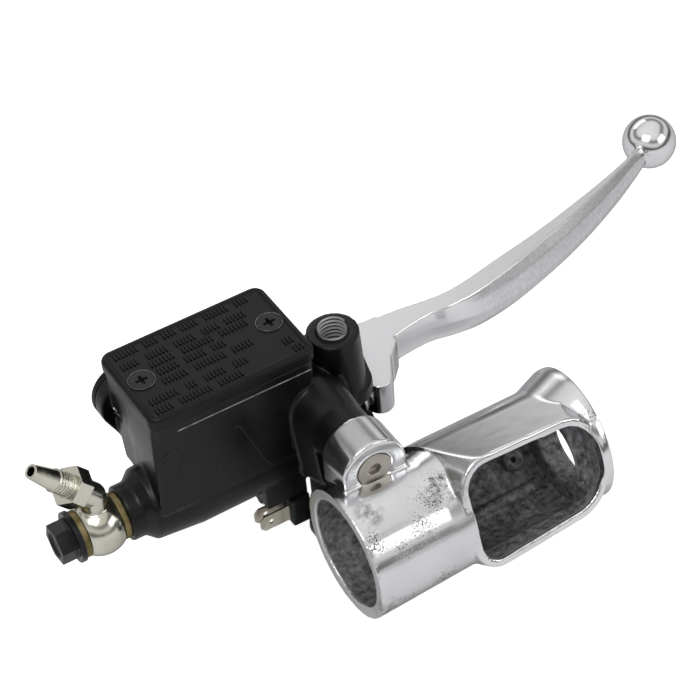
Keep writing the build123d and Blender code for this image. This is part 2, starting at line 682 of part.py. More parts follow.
def window_frame():
    """The wall round the window, with sloping ends that run down to the tube."""
    spread = window_plane(WINDOW_FACE - FRAME_DEPTH) * window_outline(WINDOW_RIM + FRAME_SPREAD)
    wedge = loft([spread, window_plane(WINDOW_FACE) * window_outline(WINDOW_RIM)])
    return wedge & loft([pod_section(*end) for end in FRAME_ENDS])


def housing_skin():
    """The solid outside of the ring, the pod and the flared end."""
    waist = ring_section(WAIST_X, WAIST_R)
    start = ring_section(POD_START_X, POD_R, POD_SHIFT)
    end = ring_section(FLARE_START_X, POD_R, POD_SHIFT)
    full = ring_section(FLARE_FULL_X, FLARE_R, FLARE_SHIFT)
    skin = loft([ring_section(0, TUBE_R), waist]) + loft([waist, start]) + loft([start, end])
    skin += loft([end, full]) + loft([full, ring_section(HOUSING_LENGTH, FLARE_R, FLARE_SHIFT)])
    return skin + window_frame()


def handlebar_housing():
    """The polished housing: bar bore, screw lugs, switch window and flared outboard end."""
    housing = housing_skin()
    for z, radius in ((LUG_Z, LUG_R), (LOWER_LUG_Z, 9.2)):
        middle = 0.5 * (z + math.copysign(14, z))
        housing += cylinder(radius, (LUG_X, LUG_FACE_Y, z), (LUG_X, JOINT_FACE_Y - 0.1, z), "y")
        housing += box(
            (LUG_X - radius, LUG_FACE_Y, min(z, middle - 3)),
            (LUG_X + radius, JOINT_FACE_Y - 0.1, max(z, middle + 3)),
        )
    housing -= cylinder(TUBE_BORE_R, (-1, 0, 0), (POD_START_X + 1, 0, 0), "x")
    housing -= cylinder(POD_BORE_R, (POD_START_X, *POD_SHIFT), (END_WALL_X, *POD_SHIFT), "x")
    housing -= cylinder(END_BORE_R, (END_WALL_X - 1, 0, 0), (HOUSING_LENGTH + 1, 0, 0), "x")
    housing -= extrude(window_plane(WINDOW_BACK) * window_outline(0), amount=WINDOW_FACE)
    for z in (LUG_Z, LOWER_LUG_Z):
        housing -= cylinder(SCREW_R + 0.2, (LUG_X, 0, z), (LUG_X, 30, z), "y")
        sink = Plane(origin=(LUG_X, LUG_FACE_Y - 0.01, z), z_dir=(0, 1, 0))
        housing -= loft([sink * Circle(SCREW_HEAD_R + 0.4), sink.offset(3.6) * Circle(SCREW_R + 0.2)])
    return housing


def housing_screws():
    """Two countersunk hex-socket screws from the rider's side."""
    hexagon = RegularPolygon(2.0, 6, major_radius=False)
    socket = Pos(0, 0, -1.0) * extrude(hexagon, amount=-1.0, both=True)
    screw = countersunk_screw(SCREW_R - FIT_GAP, SCREW_HEAD_R, SCREW_HEAD_DEPTH, SCREW_LENGTH, socket)
    turned = Rot(90, 0, 0) * screw
    return [Pos(LUG_X, LUG_FACE_Y + 0.2, z) * turned for z in (LUG_Z, LOWER_LUG_Z)]


# ---------------------------------------------------------------- brake light switch


def switch_case():
    """The black case under the barrel: terminal block, long limb and fixing lug."""
    block = box((SWITCH_X0, SWITCH_Y0, SWITCH_Z0), (6.6, 47.0, SWITCH_TOP_Z))
    block = fillet(block.edges().filter_by(Axis.Z), 1.0)
    limb = box((SWITCH_X0, 46.0, -10.6), (27.0, 60.0, -4.8))
    x, y = SWITCH_SCREW
    lug = box((x - 3.4, y - 3.0, SWITCH_TOP_Z - 1.6), (SWITCH_X0 + 1, y + 3.0, SWITCH_TOP_Z))
    case = block + limb + lug
    case -= cylinder(1.7, (x, y, -9), (x, y, -5), "z")
    return case - cylinder(
        PLUNGER_R + FIT_GAP, (9.0, PLUNGER_Y, PLUNGER_Z), (28.0, PLUNGER_Y, PLUNGER_Z), "x"
    )


def switch_terminals():
    """Two upright spade terminals that leave the case towards the inboard end."""
    blades = []
    for y in BLADE_Y:
        blade = box(
            (SWITCH_X0 - 11.0, y - 0.4, BLADE_Z - 3.15), (SWITCH_X0 - FIT_GAP, y + 0.4, BLADE_Z + 3.15)
        )
        blade = chamfer(blade.edges().filter_by(Axis.Y).sort_by(Axis.X)[:2], 1.5)
        blade -= cylinder(0.9, (SWITCH_X0 - 7.0, y - 2, BLADE_Z), (SWITCH_X0 - 7.0, y + 2, BLADE_Z), "y")
        blades.append(blade)
    return blades


def switch_screw():
    """The screw that holds the switch under the barrel."""
    x, y = SWITCH_SCREW
    head_z = SWITCH_TOP_Z - 1.65
    screw = cylinder(1.45, (x, y, head_z), (x, y, -0.6), "z")
    screw += cylinder(2.9, (x, y, head_z - 2.0), (x, y, head_z), "z")
    return screw - Pos(x, y, head_z - 1.8) * (Box(3.4, 0.7, 1.2) + Box(0.7, 3.4, 1.2))


def switch_plunger():
    """The sprung plunger that follows the lever's tab."""
    return cylinder(
        PLUNGER_R, (16.0, PLUNGER_Y, PLUNGER_Z), (PLUNGER_END_X, PLUNGER_Y, PLUNGER_Z), "x"
    )


def write(name, piece):
    """Write one node, whether it is one solid or a group."""
    if isinstance(piece, (list, tuple)):
        piece = Compound(children=[Compound(item.solids()) for item in piece])
    export_step(piece, os.path.join("parts", name + ".step"))


PIECES = {
    "cylinder_body": cylinder_body,
    "reservoir_cap": reservoir_cap,
    "cap_plate": cap_plate,
    "diaphragm": diaphragm,
    "cap_screws": cap_screws,
    "port_shield": port_shield,
    "sight_glass_bezel": sight_glass_bezel,
    "sight_glass_lens": sight_glass_lens,
    "sight_glass_seal": sight_glass_seal,
    "banjo_bolt": banjo_bolt,
    "banjo_fitting": banjo_fitting,
    "hose_nipple": hose_nipple,
    "piston": piston,
    "primary_cup": primary_cup,
    "secondary_cup": secondary_cup,
    "return_spring": return_spring,
    "stop_washer": stop_washer,
    "snap_ring": snap_ring,
    "dust_boot": dust_boot,
    "lever": lever,
    "pivot_bush": pivot_bush,
    "pivot_bolt": pivot_bolt,
    "pivot_nut": pivot_nut,
    "handlebar_housing": handlebar_housing,
    "housing_screws": housing_screws,
    "switch_case": switch_case,
    "switch_terminals": switch_terminals,
    "switch_screw": switch_screw,
    "switch_plunger": switch_plunger,
}

os.makedirs("parts", exist_ok=True)
for node, maker in PIECES.items():
    write(node, maker())
write("inner_washer", crush_washer(INNER_WASHER_X))
write("outer_washer", crush_washer(OUTER_WASHER_X))
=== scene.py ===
"""Looks for a motorcycle's handlebar brake master cylinder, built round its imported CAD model."""

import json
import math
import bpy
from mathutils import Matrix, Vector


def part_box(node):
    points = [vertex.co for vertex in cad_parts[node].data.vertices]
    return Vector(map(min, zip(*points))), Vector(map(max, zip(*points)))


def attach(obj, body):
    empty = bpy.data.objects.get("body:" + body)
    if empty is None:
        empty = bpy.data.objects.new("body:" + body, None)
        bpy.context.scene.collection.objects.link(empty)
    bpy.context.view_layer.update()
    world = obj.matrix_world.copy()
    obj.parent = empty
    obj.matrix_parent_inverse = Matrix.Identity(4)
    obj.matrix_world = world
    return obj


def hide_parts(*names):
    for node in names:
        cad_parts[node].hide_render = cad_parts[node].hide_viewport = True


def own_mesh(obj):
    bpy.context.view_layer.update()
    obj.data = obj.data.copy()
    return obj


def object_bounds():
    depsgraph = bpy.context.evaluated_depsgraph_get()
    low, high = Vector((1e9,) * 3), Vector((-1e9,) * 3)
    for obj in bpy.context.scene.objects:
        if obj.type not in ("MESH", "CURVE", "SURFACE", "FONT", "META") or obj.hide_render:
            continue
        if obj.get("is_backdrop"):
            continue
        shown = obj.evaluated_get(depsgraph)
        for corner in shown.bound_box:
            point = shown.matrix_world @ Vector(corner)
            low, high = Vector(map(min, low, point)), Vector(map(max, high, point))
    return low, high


bl_info = {
    "name": "Handlebar brake master cylinder",
    "version": (1, 0, 0),
    "blender": (4, 5, 0),
    "location": "View3D > Sidebar > Master cylinder",
    "description": "Cast, moulded, plated and polished pieces of a handlebar brake master cylinder",
    "category": "Object",
}

import bmesh
import bpy
from mathutils import Matrix, Vector

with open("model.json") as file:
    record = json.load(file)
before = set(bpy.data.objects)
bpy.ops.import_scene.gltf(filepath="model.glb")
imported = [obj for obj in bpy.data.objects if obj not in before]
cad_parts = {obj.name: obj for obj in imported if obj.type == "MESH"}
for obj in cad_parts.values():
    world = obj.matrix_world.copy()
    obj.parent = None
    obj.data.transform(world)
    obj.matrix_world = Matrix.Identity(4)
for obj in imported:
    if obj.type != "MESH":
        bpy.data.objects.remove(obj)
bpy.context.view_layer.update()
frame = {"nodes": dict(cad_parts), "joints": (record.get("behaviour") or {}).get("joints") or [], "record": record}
MM = 0.001

CAP_LOW, CAP_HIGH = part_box("reservoir_cap")
WASHER_LOW, WASHER_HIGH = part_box("inner_washer")
SPRING_LOW, SPRING_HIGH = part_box("return_spring")
BOOT_LOW, BOOT_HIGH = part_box("dust_boot")
LEVER_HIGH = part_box("lever")[1]
BOLT_END_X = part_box("banjo_bolt")[0].x

BORE_Y = (WASHER_LOW.y + WASHER_HIGH.y) / 2
BORE_Z = (WASHER_LOW.z + WASHER_HIGH.z) / 2
MIRROR_X = 28.0 * MM
MIRROR_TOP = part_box("cylinder_body")[1].z
POCKET_DEPTH = 0.5 * MM
BALL_R = 9.8 * MM

# The reservoir's near wall, in millimetres: it leans in below the cap, and the panel under that leans out
WALL_TOP_Y, WALL_TOP_Z = 37.0, 47.4
WALL_TILT = 1.4 / 38.4
PANEL_TOP_Z = 45.0
PANEL_TILT = 1.8 / 32.2
PANEL_STEP = 0.1
FLASH_SUNK = 0.02

AXIS_X, AXIS_Y, AXIS_Z = Vector((1, 0, 0)), Vector((0, 1, 0)), Vector((0, 0, 1))


# ---------------------------------------------------------------- settings


class CastingSettings(bpy.types.PropertyGroup):
    """Sizes and finish of the black cast body."""

    skin: bpy.props.FloatProperty(
        name="Skin pitch", description="Mesh pitch of the cast skin", default=0.5 * MM, unit="LENGTH"
    )
    softness: bpy.props.IntProperty(
        name="Softness", description="How far cast edges are rounded", default=5, min=0, max=40
    )
    flash: bpy.props.FloatProperty(
        name="Flash line", description="Radius of the parting flash", default=0.22 * MM, unit="LENGTH"
    )
    thread_pitch: bpy.props.FloatProperty(
        name="Mirror thread pitch", description="Pitch of the mirror thread",
        default=1.5 * MM, unit="LENGTH",
    )


class CapSettings(bpy.types.PropertyGroup):
    """Sizes of the raised ribs on the reservoir cap."""

    rib_height: bpy.props.FloatProperty(
        name="Rib height", description="How far the ribs stand up", default=0.45 * MM, unit="LENGTH"
    )
    rib_length: bpy.props.FloatProperty(
        name="Rib length", description="Length of one rib across its row", default=2.9 * MM, unit="LENGTH"
    )
    rib_width: bpy.props.FloatProperty(
        name="Rib width", description="Width of one rib", default=0.68 * MM, unit="LENGTH"
    )
    rib_pitch: bpy.props.FloatProperty(
        name="Rib pitch", description="Spacing of the ribs along a row", default=1.25 * MM, unit="LENGTH"
    )


class PolishSettings(bpy.types.PropertyGroup):
    """Finish of the polished aluminium."""

    metal: bpy.props.FloatVectorProperty(
        name="Polished metal", description="Colour of polished aluminium", subtype="COLOR",
        default=(0.80, 0.805, 0.815), min=0, max=1,
    )
    raw: bpy.props.FloatVectorProperty(
        name="Raw casting", description="Colour of unpolished aluminium inside the housing",
        subtype="COLOR", default=(0.15, 0.15, 0.155), min=0, max=1,
    )
    skin: bpy.props.FloatProperty(
        name="Skin pitch", description="Mesh pitch of polished skins", default=0.42 * MM, unit="LENGTH"
    )


class StageSettings(bpy.types.PropertyGroup):
    """Light and camera."""

    glow: bpy.props.FloatProperty(
        name="Floor glow", description="Light the paper gives off by itself", default=0.75, min=0
    )
    lens: bpy.props.FloatProperty(
        name="Lens", description="Focal length on a 36 mm sensor",
        default=133.7, subtype="DISTANCE_CAMERA",
    )
    key: bpy.props.FloatProperty(
        name="Key light", description="Power of the key light", default=2.3, subtype="POWER", unit="POWER"
    )


# ---------------------------------------------------------------- mesh tools


def welded_copy(node):
    """A bmesh of a CAD node with its split vertices joined."""
    bm = bmesh.new()
    bm.from_mesh(frame["nodes"][node].data)
    bmesh.ops.remove_doubles(bm, verts=bm.verts, dist=2e-6)
    return bm


def mesh_from(bm, name):
    """Ends a bmesh as mesh data."""
    bmesh.ops.recalc_face_normals(bm, faces=bm.faces)
    mesh = bpy.data.meshes.new(name)
    bm.to_mesh(mesh)
    bm.free()
    return mesh


def add_ring_loft(bm, rings, closed_loop=False):
    """Skins a row of closed rings of points, all with the same count, and caps or joins its ends."""
    made = [[bm.verts.new(point) for point in ring] for ring in rings]
    count = len(made[0])
    pairs = list(zip(made, made[1:]))
    if closed_loop:
        pairs.append((made[-1], made[0]))
    for a, b in pairs:
        for i in range(count):
            j = (i + 1) % count
            bm.faces.new((a[i], a[j], b[j], b[i]))
    if not closed_loop:
        bm.faces.new(made[0][::-1])
        bm.faces.new(made[-1])


def circle_points(centre, axis_u, axis_v, radius, count):
    """Points round a circle."""
    centre = Vector(centre)
    return [
        centre
        + axis_u * (radius * math.cos(2 * math.pi * i / count))
        + axis_v * (radius * math.sin(2 * math.pi * i / count))
        for i in range(count)
    ]


def lathe_x(bm, profile, y, z, count, **closing):
    """Turns (x, radius) points round an axis along X."""
    add_ring_loft(bm, [circle_points((x, y, z), AXIS_Y, AXIS_Z, r, count) for x, r in profile], **closing)


def add_tube(bm, points, radius, count=8):
    """A thin closed tube along a line of points."""
    points = [Vector(p) for p in points]
    rings = []
    for i, point in enumerate(points):
        ahead = points[min(i + 1, len(points) - 1)] - points[max(i - 1, 0)]
        ahead.normalize()
        side = ahead.cross(AXIS_Z)
        if side.length < 1e-3:
            side = ahead.cross(AXIS_Y)
        side.normalize()
        up = side.cross(ahead)
        rings.append(circle_points(point, side, up, radius, count))
    add_ring_loft(bm, rings)


def smooth_rows(rows, steps):
    """Rows of numbers with Catmull-Rom steps put in between."""
    out = []
    for i in range(len(rows) - 1):
        near = rows[max(i - 1, 0)], rows[i], rows[i + 1], rows[min(i + 2, len(rows) - 1)]
        for k in range(steps):
            t = k / steps
            out.append(tuple(
                0.5 * (2 * b + (c - a) * t + (2 * a - 5 * b + 4 * c - d) * t**2
                       + (3 * b - a - 3 * c + d) * t**3)
                for a, b, c, d in zip(*near)
            ))
    out.append(rows[-1])
    return out


def add_box(bm, low, high):
    """A box between two corners."""
    low, high = Vector(low), Vector(high)
    made = bmesh.ops.create_cube(bm, size=1.0)
    size, middle = high - low, (low + high) / 2
    for vert in made["verts"]:
        vert.co = Vector(a * b for a, b in zip(vert.co, size)) + middle


def evaluated_mesh(thing):
    """The mesh of an object with its modifiers applied; the object itself is removed."""
    graph = bpy.context.evaluated_depsgraph_get()
    mesh = bpy.data.meshes.new_from_object(thing.evaluated_get(graph))
    old = thing.data
    bpy.data.objects.remove(thing)
    bpy.data.meshes.remove(old)
    return mesh


def cast_skin(bm, name, pitch, softness, cuts=()):
    """One closed skin round everything in a bmesh, with softened edges, less the cutters."""
    thing = bpy.data.objects.new(name + "_raw", mesh_from(bm, name + "_raw"))
    bpy.context.scene.collection.objects.link(thing)
    cutters = []
    for cut in cuts:
        cutter = bpy.data.objects.new(name + "_cut", mesh_from(cut, name + "_cut"))
        bpy.context.scene.collection.objects.link(cutter)
        cutter.hide_render = True
        modifier = thing.modifiers.new("cut", "BOOLEAN")
        modifier.operation = "DIFFERENCE"
        modifier.solver = "EXACT"
        modifier.object = cutter
        cutters.append(cutter)
    remesh = thing.modifiers.new("skin", "REMESH")
    remesh.mode = "VOXEL"
    remesh.voxel_size = pitch
    if softness:
        soften = thing.modifiers.new("soften", "SMOOTH")
        soften.factor = 0.5
        soften.iterations = softness
    bpy.context.view_layer.update()
    mesh = evaluated_mesh(thing)
    for cutter in cutters:
        data = cutter.data
        bpy.data.objects.remove(cutter)
        bpy.data.meshes.remove(data)
    mesh.name = name
    return mesh


def add_piece(name, mesh, slot, nodes=(), body="master", finish=None, crease=None):
    """Links a finished mesh as a piece that rides on a body, in its slot's finish or the one named."""
    piece = bpy.data.objects.new(name, mesh)
    bpy.context.scene.collection.objects.link(piece)
    mesh.materials.clear()
    mesh.materials.append(FINISHES[finish or slot])
    for polygon in mesh.polygons:
        polygon.use_smooth = True
    if crease is not None:
        mesh.set_sharp_from_angle(angle=math.radians(crease))
    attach(piece, body)
    if nodes:
        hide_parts(*nodes)
    return piece


def soften_node(node, name, slot, pitch, softness, cuts=()):
    """A piece of the body made from a CAD node with its edges rounded off."""
    add_piece(name, cast_skin(welded_copy(node), name, pitch, softness, cuts), slot, (node,))


# ---------------------------------------------------------------- finishes


def new_group(name, inputs, outputs):
    """An empty shader node group with named sockets."""
    group = bpy.data.node_groups.new(name, "ShaderNodeTree")
    for label, kind, value in inputs:
        socket = group.interface.new_socket(name=label, in_out="INPUT", socket_type=kind)
        socket.default_value = value
    for label, kind in outputs:
        group.interface.new_socket(name=label, in_out="OUTPUT", socket_type=kind)
    start = group.nodes.new("NodeGroupInput")
    end = group.nodes.new("NodeGroupOutput")
    return group, start, end


def node(tree, kind, **settings):
    """A node with settings: properties by name, inputs by their label."""
    made = tree.nodes.new(kind)
    for key, value in settings.items():
        if hasattr(made, key):
            setattr(made, key, value)
        else:
            made.inputs[key.replace("_", " ")].default_value = value
    return made


def noise(tree, vector, scale, detail=4.0, roughness=0.55):
    """A noise texture on object coordinates."""
    made = node(tree, "ShaderNodeTexNoise", Scale=scale, Detail=detail, Roughness=roughness)
    tree.links.new(vector, made.inputs["Vector"])
    return made.outputs["Fac"]


def math_node(tree, operation, a, b=None, clamp=False):
    """A maths node whose inputs are sockets or numbers."""
    made = tree.nodes.new("ShaderNodeMath")
    made.operation = operation
    made.use_clamp = clamp
    for index, value in enumerate((a, b)):
        if value is None:
            continue
        if isinstance(value, (int, float)):
            made.inputs[index].default_value = value
        else:
            tree.links.new(value, made.inputs[index])
    return made.outputs[0]


def map_range(tree, value, low, high, to_low=0.0, to_high=1.0):
    """A clamped map from one range to another."""
    made = tree.nodes.new("ShaderNodeMapRange")
    tree.links.new(value, made.inputs["Value"])
    made.inputs["From Min"].default_value = low
    made.inputs["From Max"].default_value = high
    made.inputs["To Min"].default_value = to_low
    made.inputs["To Max"].default_value = to_high
    return made.outputs["Result"]


def mix_colour(tree, factor, a, b):
    """Mixes two colours, given as sockets or values."""
    made = tree.nodes.new("ShaderNodeMix")
    made.data_type = "RGBA"
    tree.links.new(factor, made.inputs[0])
    for index, value in ((6, a), (7, b)):
        if isinstance(value, (tuple, list)):
            made.inputs[index].default_value = (*value[:3], 1.0)
        else:
            tree.links.new(value, made.inputs[index])
    return made.outputs[2]


def grain_group():
    """Cast or moulded grain: a fine height, and a mask of broad cloudy patches."""
    group, start, end = new_group(
        "cast grain",
        [("Pitch", "NodeSocketFloat", 900.0), ("Cloud", "NodeSocketFloat", 60.0)],
        [("Height", "NodeSocketFloat"), ("Clouds", "NodeSocketFloat")],
    )
    place = group.nodes.new("ShaderNodeTexCoord").outputs["Object"]
    fine = node(group, "ShaderNodeTexNoise", Detail=5.0, Roughness=0.6)
    group.links.new(place, fine.inputs["Vector"])
    group.links.new(start.outputs["Pitch"], fine.inputs["Scale"])
    coarse = node(group, "ShaderNodeTexNoise", Detail=3.0, Roughness=0.5)
    group.links.new(place, coarse.inputs["Vector"])
    group.links.new(start.outputs["Cloud"], coarse.inputs["Scale"])
    swell = math_node(group, "MULTIPLY", coarse.outputs["Fac"], 1.5)
    group.links.new(math_node(group, "ADD", fine.outputs["Fac"], swell), end.inputs["Height"])
    clouds = map_range(group, coarse.outputs["Fac"], 0.35, 0.65)
    group.links.new(clouds, end.inputs["Clouds"])
    return group


def scratch_group():
    """Fine handling scratches and dust, as a mask."""
    group, start, end = new_group(
        "handling marks", [("Amount", "NodeSocketFloat", 0.5)], [("Marks", "NodeSocketFloat")]
    )
    place = group.nodes.new("ShaderNodeTexCoord").outputs["Object"]
    lines = []
    for angle, scale in ((0.5, (2600, 90, 2600)), (2.0, (110, 2200, 1800))):
        turned = node(group, "ShaderNodeMapping", vector_type="POINT")
        turned.inputs["Rotation"].default_value = (angle, angle * 0.6, angle * 1.3)
        turned.inputs["Scale"].default_value = scale
        group.links.new(place, turned.inputs["Vector"])
        lines.append(map_range(group, noise(group, turned.outputs["Vector"], 1.0, 2.0), 0.66, 0.74))
    both = math_node(group, "MAXIMUM", lines[0], lines[1])
    dust = map_range(group, noise(group, place, 1700.0, 2.0), 0.68, 0.76)
    marks = math_node(group, "ADD", both, dust, clamp=True)
    group.links.new(math_node(group, "MULTIPLY", marks, start.outputs["Amount"]), end.inputs["Marks"])
    return group


def brush_group():
    """Long fine brushing lines that run up and down, as a height and a mask."""
    group, start, end = new_group(
        "brushing",
        [("Along", "NodeSocketFloat", 25.0), ("Across", "NodeSocketFloat", 1600.0)],
        [("Height", "NodeSocketFloat"), ("Lines", "NodeSocketFloat")],
    )
    place = node(group, "ShaderNodeSeparateXYZ")
    group.links.new(group.nodes.new("ShaderNodeTexCoord").outputs["Object"], place.inputs[0])
    stretched = node(group, "ShaderNodeCombineXYZ")
    for axis in ("X", "Y"):
        scaled = math_node(group, "MULTIPLY", place.outputs[axis], start.outputs["Across"])
        group.links.new(scaled, stretched.inputs[axis])
    scaled = math_node(group, "MULTIPLY", place.outputs["Z"], start.outputs["Along"])
    group.links.new(scaled, stretched.inputs["Z"])
    lines = noise(group, stretched.outputs["Vector"], 1.0, 3.0, 0.6)
    group.links.new(lines, end.inputs["Height"])
    group.links.new(map_range(group, lines, 0.35, 0.65), end.inputs["Lines"])
    return group


def start_finish(name, metallic, roughness):
    """A material with its shader; uniform numbers are set on the shader."""
    material = bpy.data.materials.new(name)
    material.use_nodes = True
    tree = material.node_tree
    shader = tree.nodes["Principled BSDF"]
    shader.inputs["Metallic"].default_value = metallic
    shader.inputs["Roughness"].default_value = roughness
    if metallic > 0.5:
        shader.inputs["Specular Tint"].default_value = (0.55, 0.55, 0.55, 1.0)
    return material, tree, shader


def add_group(tree, name, **inputs):
    """A group node of one of the shared groups."""
    made = tree.nodes.new("ShaderNodeGroup")
    made.node_tree = GROUPS[name]
    for label, value in inputs.items():
        made.inputs[label].default_value = value
    return made


def add_relief(tree, shader, height, strength, distance=None):
    """Bumps the shader's normal by a height."""
    relief = node(tree, "ShaderNodeBump", Strength=strength)
    if distance is not None:
        relief.inputs["Distance"].default_value = distance
    tree.links.new(height, relief.inputs["Height"])
    tree.links.new(relief.outputs["Normal"], shader.inputs["Normal"])


def attribute(tree, name):
    """A painted number on the mesh."""
    return node(tree, "ShaderNodeAttribute", attribute_name=name).outputs["Fac"]


def object_place(tree):
    """The place on the object that is shaded."""
    return tree.nodes.new("ShaderNodeTexCoord").outputs["Object"]


def tone(colour, share):
    """A colour made lighter or darker."""
    return tuple(c * share for c in colour)


def grained_finish(name, dark, light, rough, metallic=0.0, pitch=900.0, cloud=60.0, bump=0.1,
                   marks=0.0, mark_colour=(0.3, 0.3, 0.3), sheen=0.5):
    """A finish with grain, cloudy colour and roughness, and handling marks."""
    material, tree, shader = start_finish(name, metallic, rough[0])
    shader.inputs["Specular IOR Level"].default_value = sheen
    grain = add_group(tree, "grain", Pitch=pitch, Cloud=cloud)
    colour = mix_colour(tree, grain.outputs["Clouds"], dark, light)
    roughness = map_range(tree, grain.outputs["Clouds"], 0.0, 1.0, *rough)
    if marks:
        scratches = add_group(tree, "scratches", Amount=marks)
        colour = mix_colour(tree, scratches.outputs["Marks"], colour, mark_colour)
    tree.links.new(colour, shader.inputs["Base Color"])
    tree.links.new(roughness, shader.inputs["Roughness"])
    add_relief(tree, shader, grain.outputs["Height"], bump, 0.2 * MM)
    return material


def housing_finish(polish):
    """Polished aluminium outside, raw dark casting inside, with pitted patches between."""
    material, tree, shader = start_finish("polished_housing", 1.0, 0.1)
    raw, pitted, smudged = (attribute(tree, name) for name in ("raw_casting", "pitted", "smudged"))
    place = object_place(tree)
    clouds = add_group(tree, "grain", Pitch=700.0, Cloud=45.0).outputs["Clouds"]

    def times(a, b):
        return math_node(tree, "MULTIPLY", a, b)

    def plus(a, b):
        return math_node(tree, "ADD", a, b)

    pit_noise = noise(tree, place, 2100.0, 2.0, 0.6)
    cluster = noise(tree, place, 260.0, 3.0, 0.6)
    level = plus(pit_noise, times(times(pitted, plus(cluster, 0.55)), 0.17))
    pits = times(map_range(tree, level, 0.70, 0.80), map_range(tree, pitted, 0.0, 0.15))
    smudge = times(map_range(tree, cluster, 0.42, 0.62), smudged)
    speck = noise(tree, place, 420.0, 4.0, 0.7)

    speckle = map_range(tree, speck, 0.35, 0.7)
    raw_tone = mix_colour(tree, speckle, tone(polish.raw, 0.45), tone(polish.raw, 2.4))
    bright = mix_colour(tree, clouds, tuple(polish.metal), tone(polish.metal, 0.93))
    dulled = mix_colour(tree, smudge, bright, (0.20, 0.20, 0.20))
    pit_tone = mix_colour(tree, pits, dulled, (0.09, 0.09, 0.09))
    tree.links.new(mix_colour(tree, raw, pit_tone, raw_tone), shader.inputs["Base Color"])
    tree.links.new(map_range(tree, raw, 0.0, 1.0, 1.0, 0.35), shader.inputs["Metallic"])

    smooth = map_range(tree, clouds, 0.0, 1.0, 0.13, 0.24)
    worn = plus(smooth, plus(times(pits, 0.45), times(smudge, 0.2)))
    rough = math_node(tree, "MAXIMUM", worn, times(raw, 0.62), clamp=True)
    tree.links.new(rough, shader.inputs["Roughness"])

    waves = times(noise(tree, place, 75.0, 2.0), 0.35)
    swell = plus(waves, times(times(speck, raw), 2.2))
    add_relief(tree, shader, math_node(tree, "SUBTRACT", swell, times(pits, 0.5)), 0.5, 0.25 * MM)
    return material


def lever_finish(polish):
    """Polished aluminium with upright brushing on the side of the blade."""
    material, tree, shader = start_finish("polished_lever", 1.0, 0.15)
    brushed, satin = attribute(tree, "brushed"), attribute(tree, "satin")
    lines = add_group(tree, "brushing")
    metal = tuple(polish.metal)
    streaks = mix_colour(tree, lines.outputs["Lines"], tone(metal, 0.80), metal)
    tree.links.new(mix_colour(tree, brushed, metal, streaks), shader.inputs["Base Color"])
    rough = map_range(tree, brushed, 0.0, 1.0, 0.14, 0.34)
    rough = math_node(tree, "MAXIMUM", rough, math_node(tree, "MULTIPLY", satin, 0.42))
    tree.links.new(rough, shader.inputs["Roughness"])
    height = math_node(tree, "MULTIPLY", lines.outputs["Height"], brushed)
    add_relief(tree, shader, height, 0.12, 0.05 * MM)
    return material


def thread_finish():
    """Bright thread crests with paint left in the grooves."""
    material, tree, shader = start_finish("mirror_thread", 1.0, 0.25)
    worn = map_range(tree, noise(tree, object_place(tree), 500.0), 0.3, 0.7, 0.75, 1.0)
    mask = math_node(tree, "MULTIPLY", attribute(tree, "crest"), worn)
    paint_to_metal = mix_colour(tree, mask, (0.010, 0.010, 0.010), (0.95, 0.95, 0.95))
    tree.links.new(paint_to_metal, shader.inputs["Base Color"])
    tree.links.new(map_range(tree, mask, 0.0, 1.0, 0.5, 0.22), shader.inputs["Roughness"])
    tree.links.new(math_node(tree, "MULTIPLY", mask, 0.7), shader.inputs["Metallic"])
    return material


def glass_finish():
    """Clear sight glass with a faint moulded ripple."""
    material, tree, shader = start_finish("clear_lens", 0.0, 0.05)
    shader.inputs["Transmission Weight"].default_value = 0.9
    shader.inputs["IOR"].default_value = 1.5
    place = object_place(tree)
    tint = mix_colour(tree, noise(tree, place, 90.0), (0.80, 0.85, 0.84), (0.9, 0.93, 0.92))
    tree.links.new(tint, shader.inputs["Base Color"])
    add_relief(tree, shader, noise(tree, place, 300.0), 0.05)
    return material


GROUPS = {}
FINISHES = {}


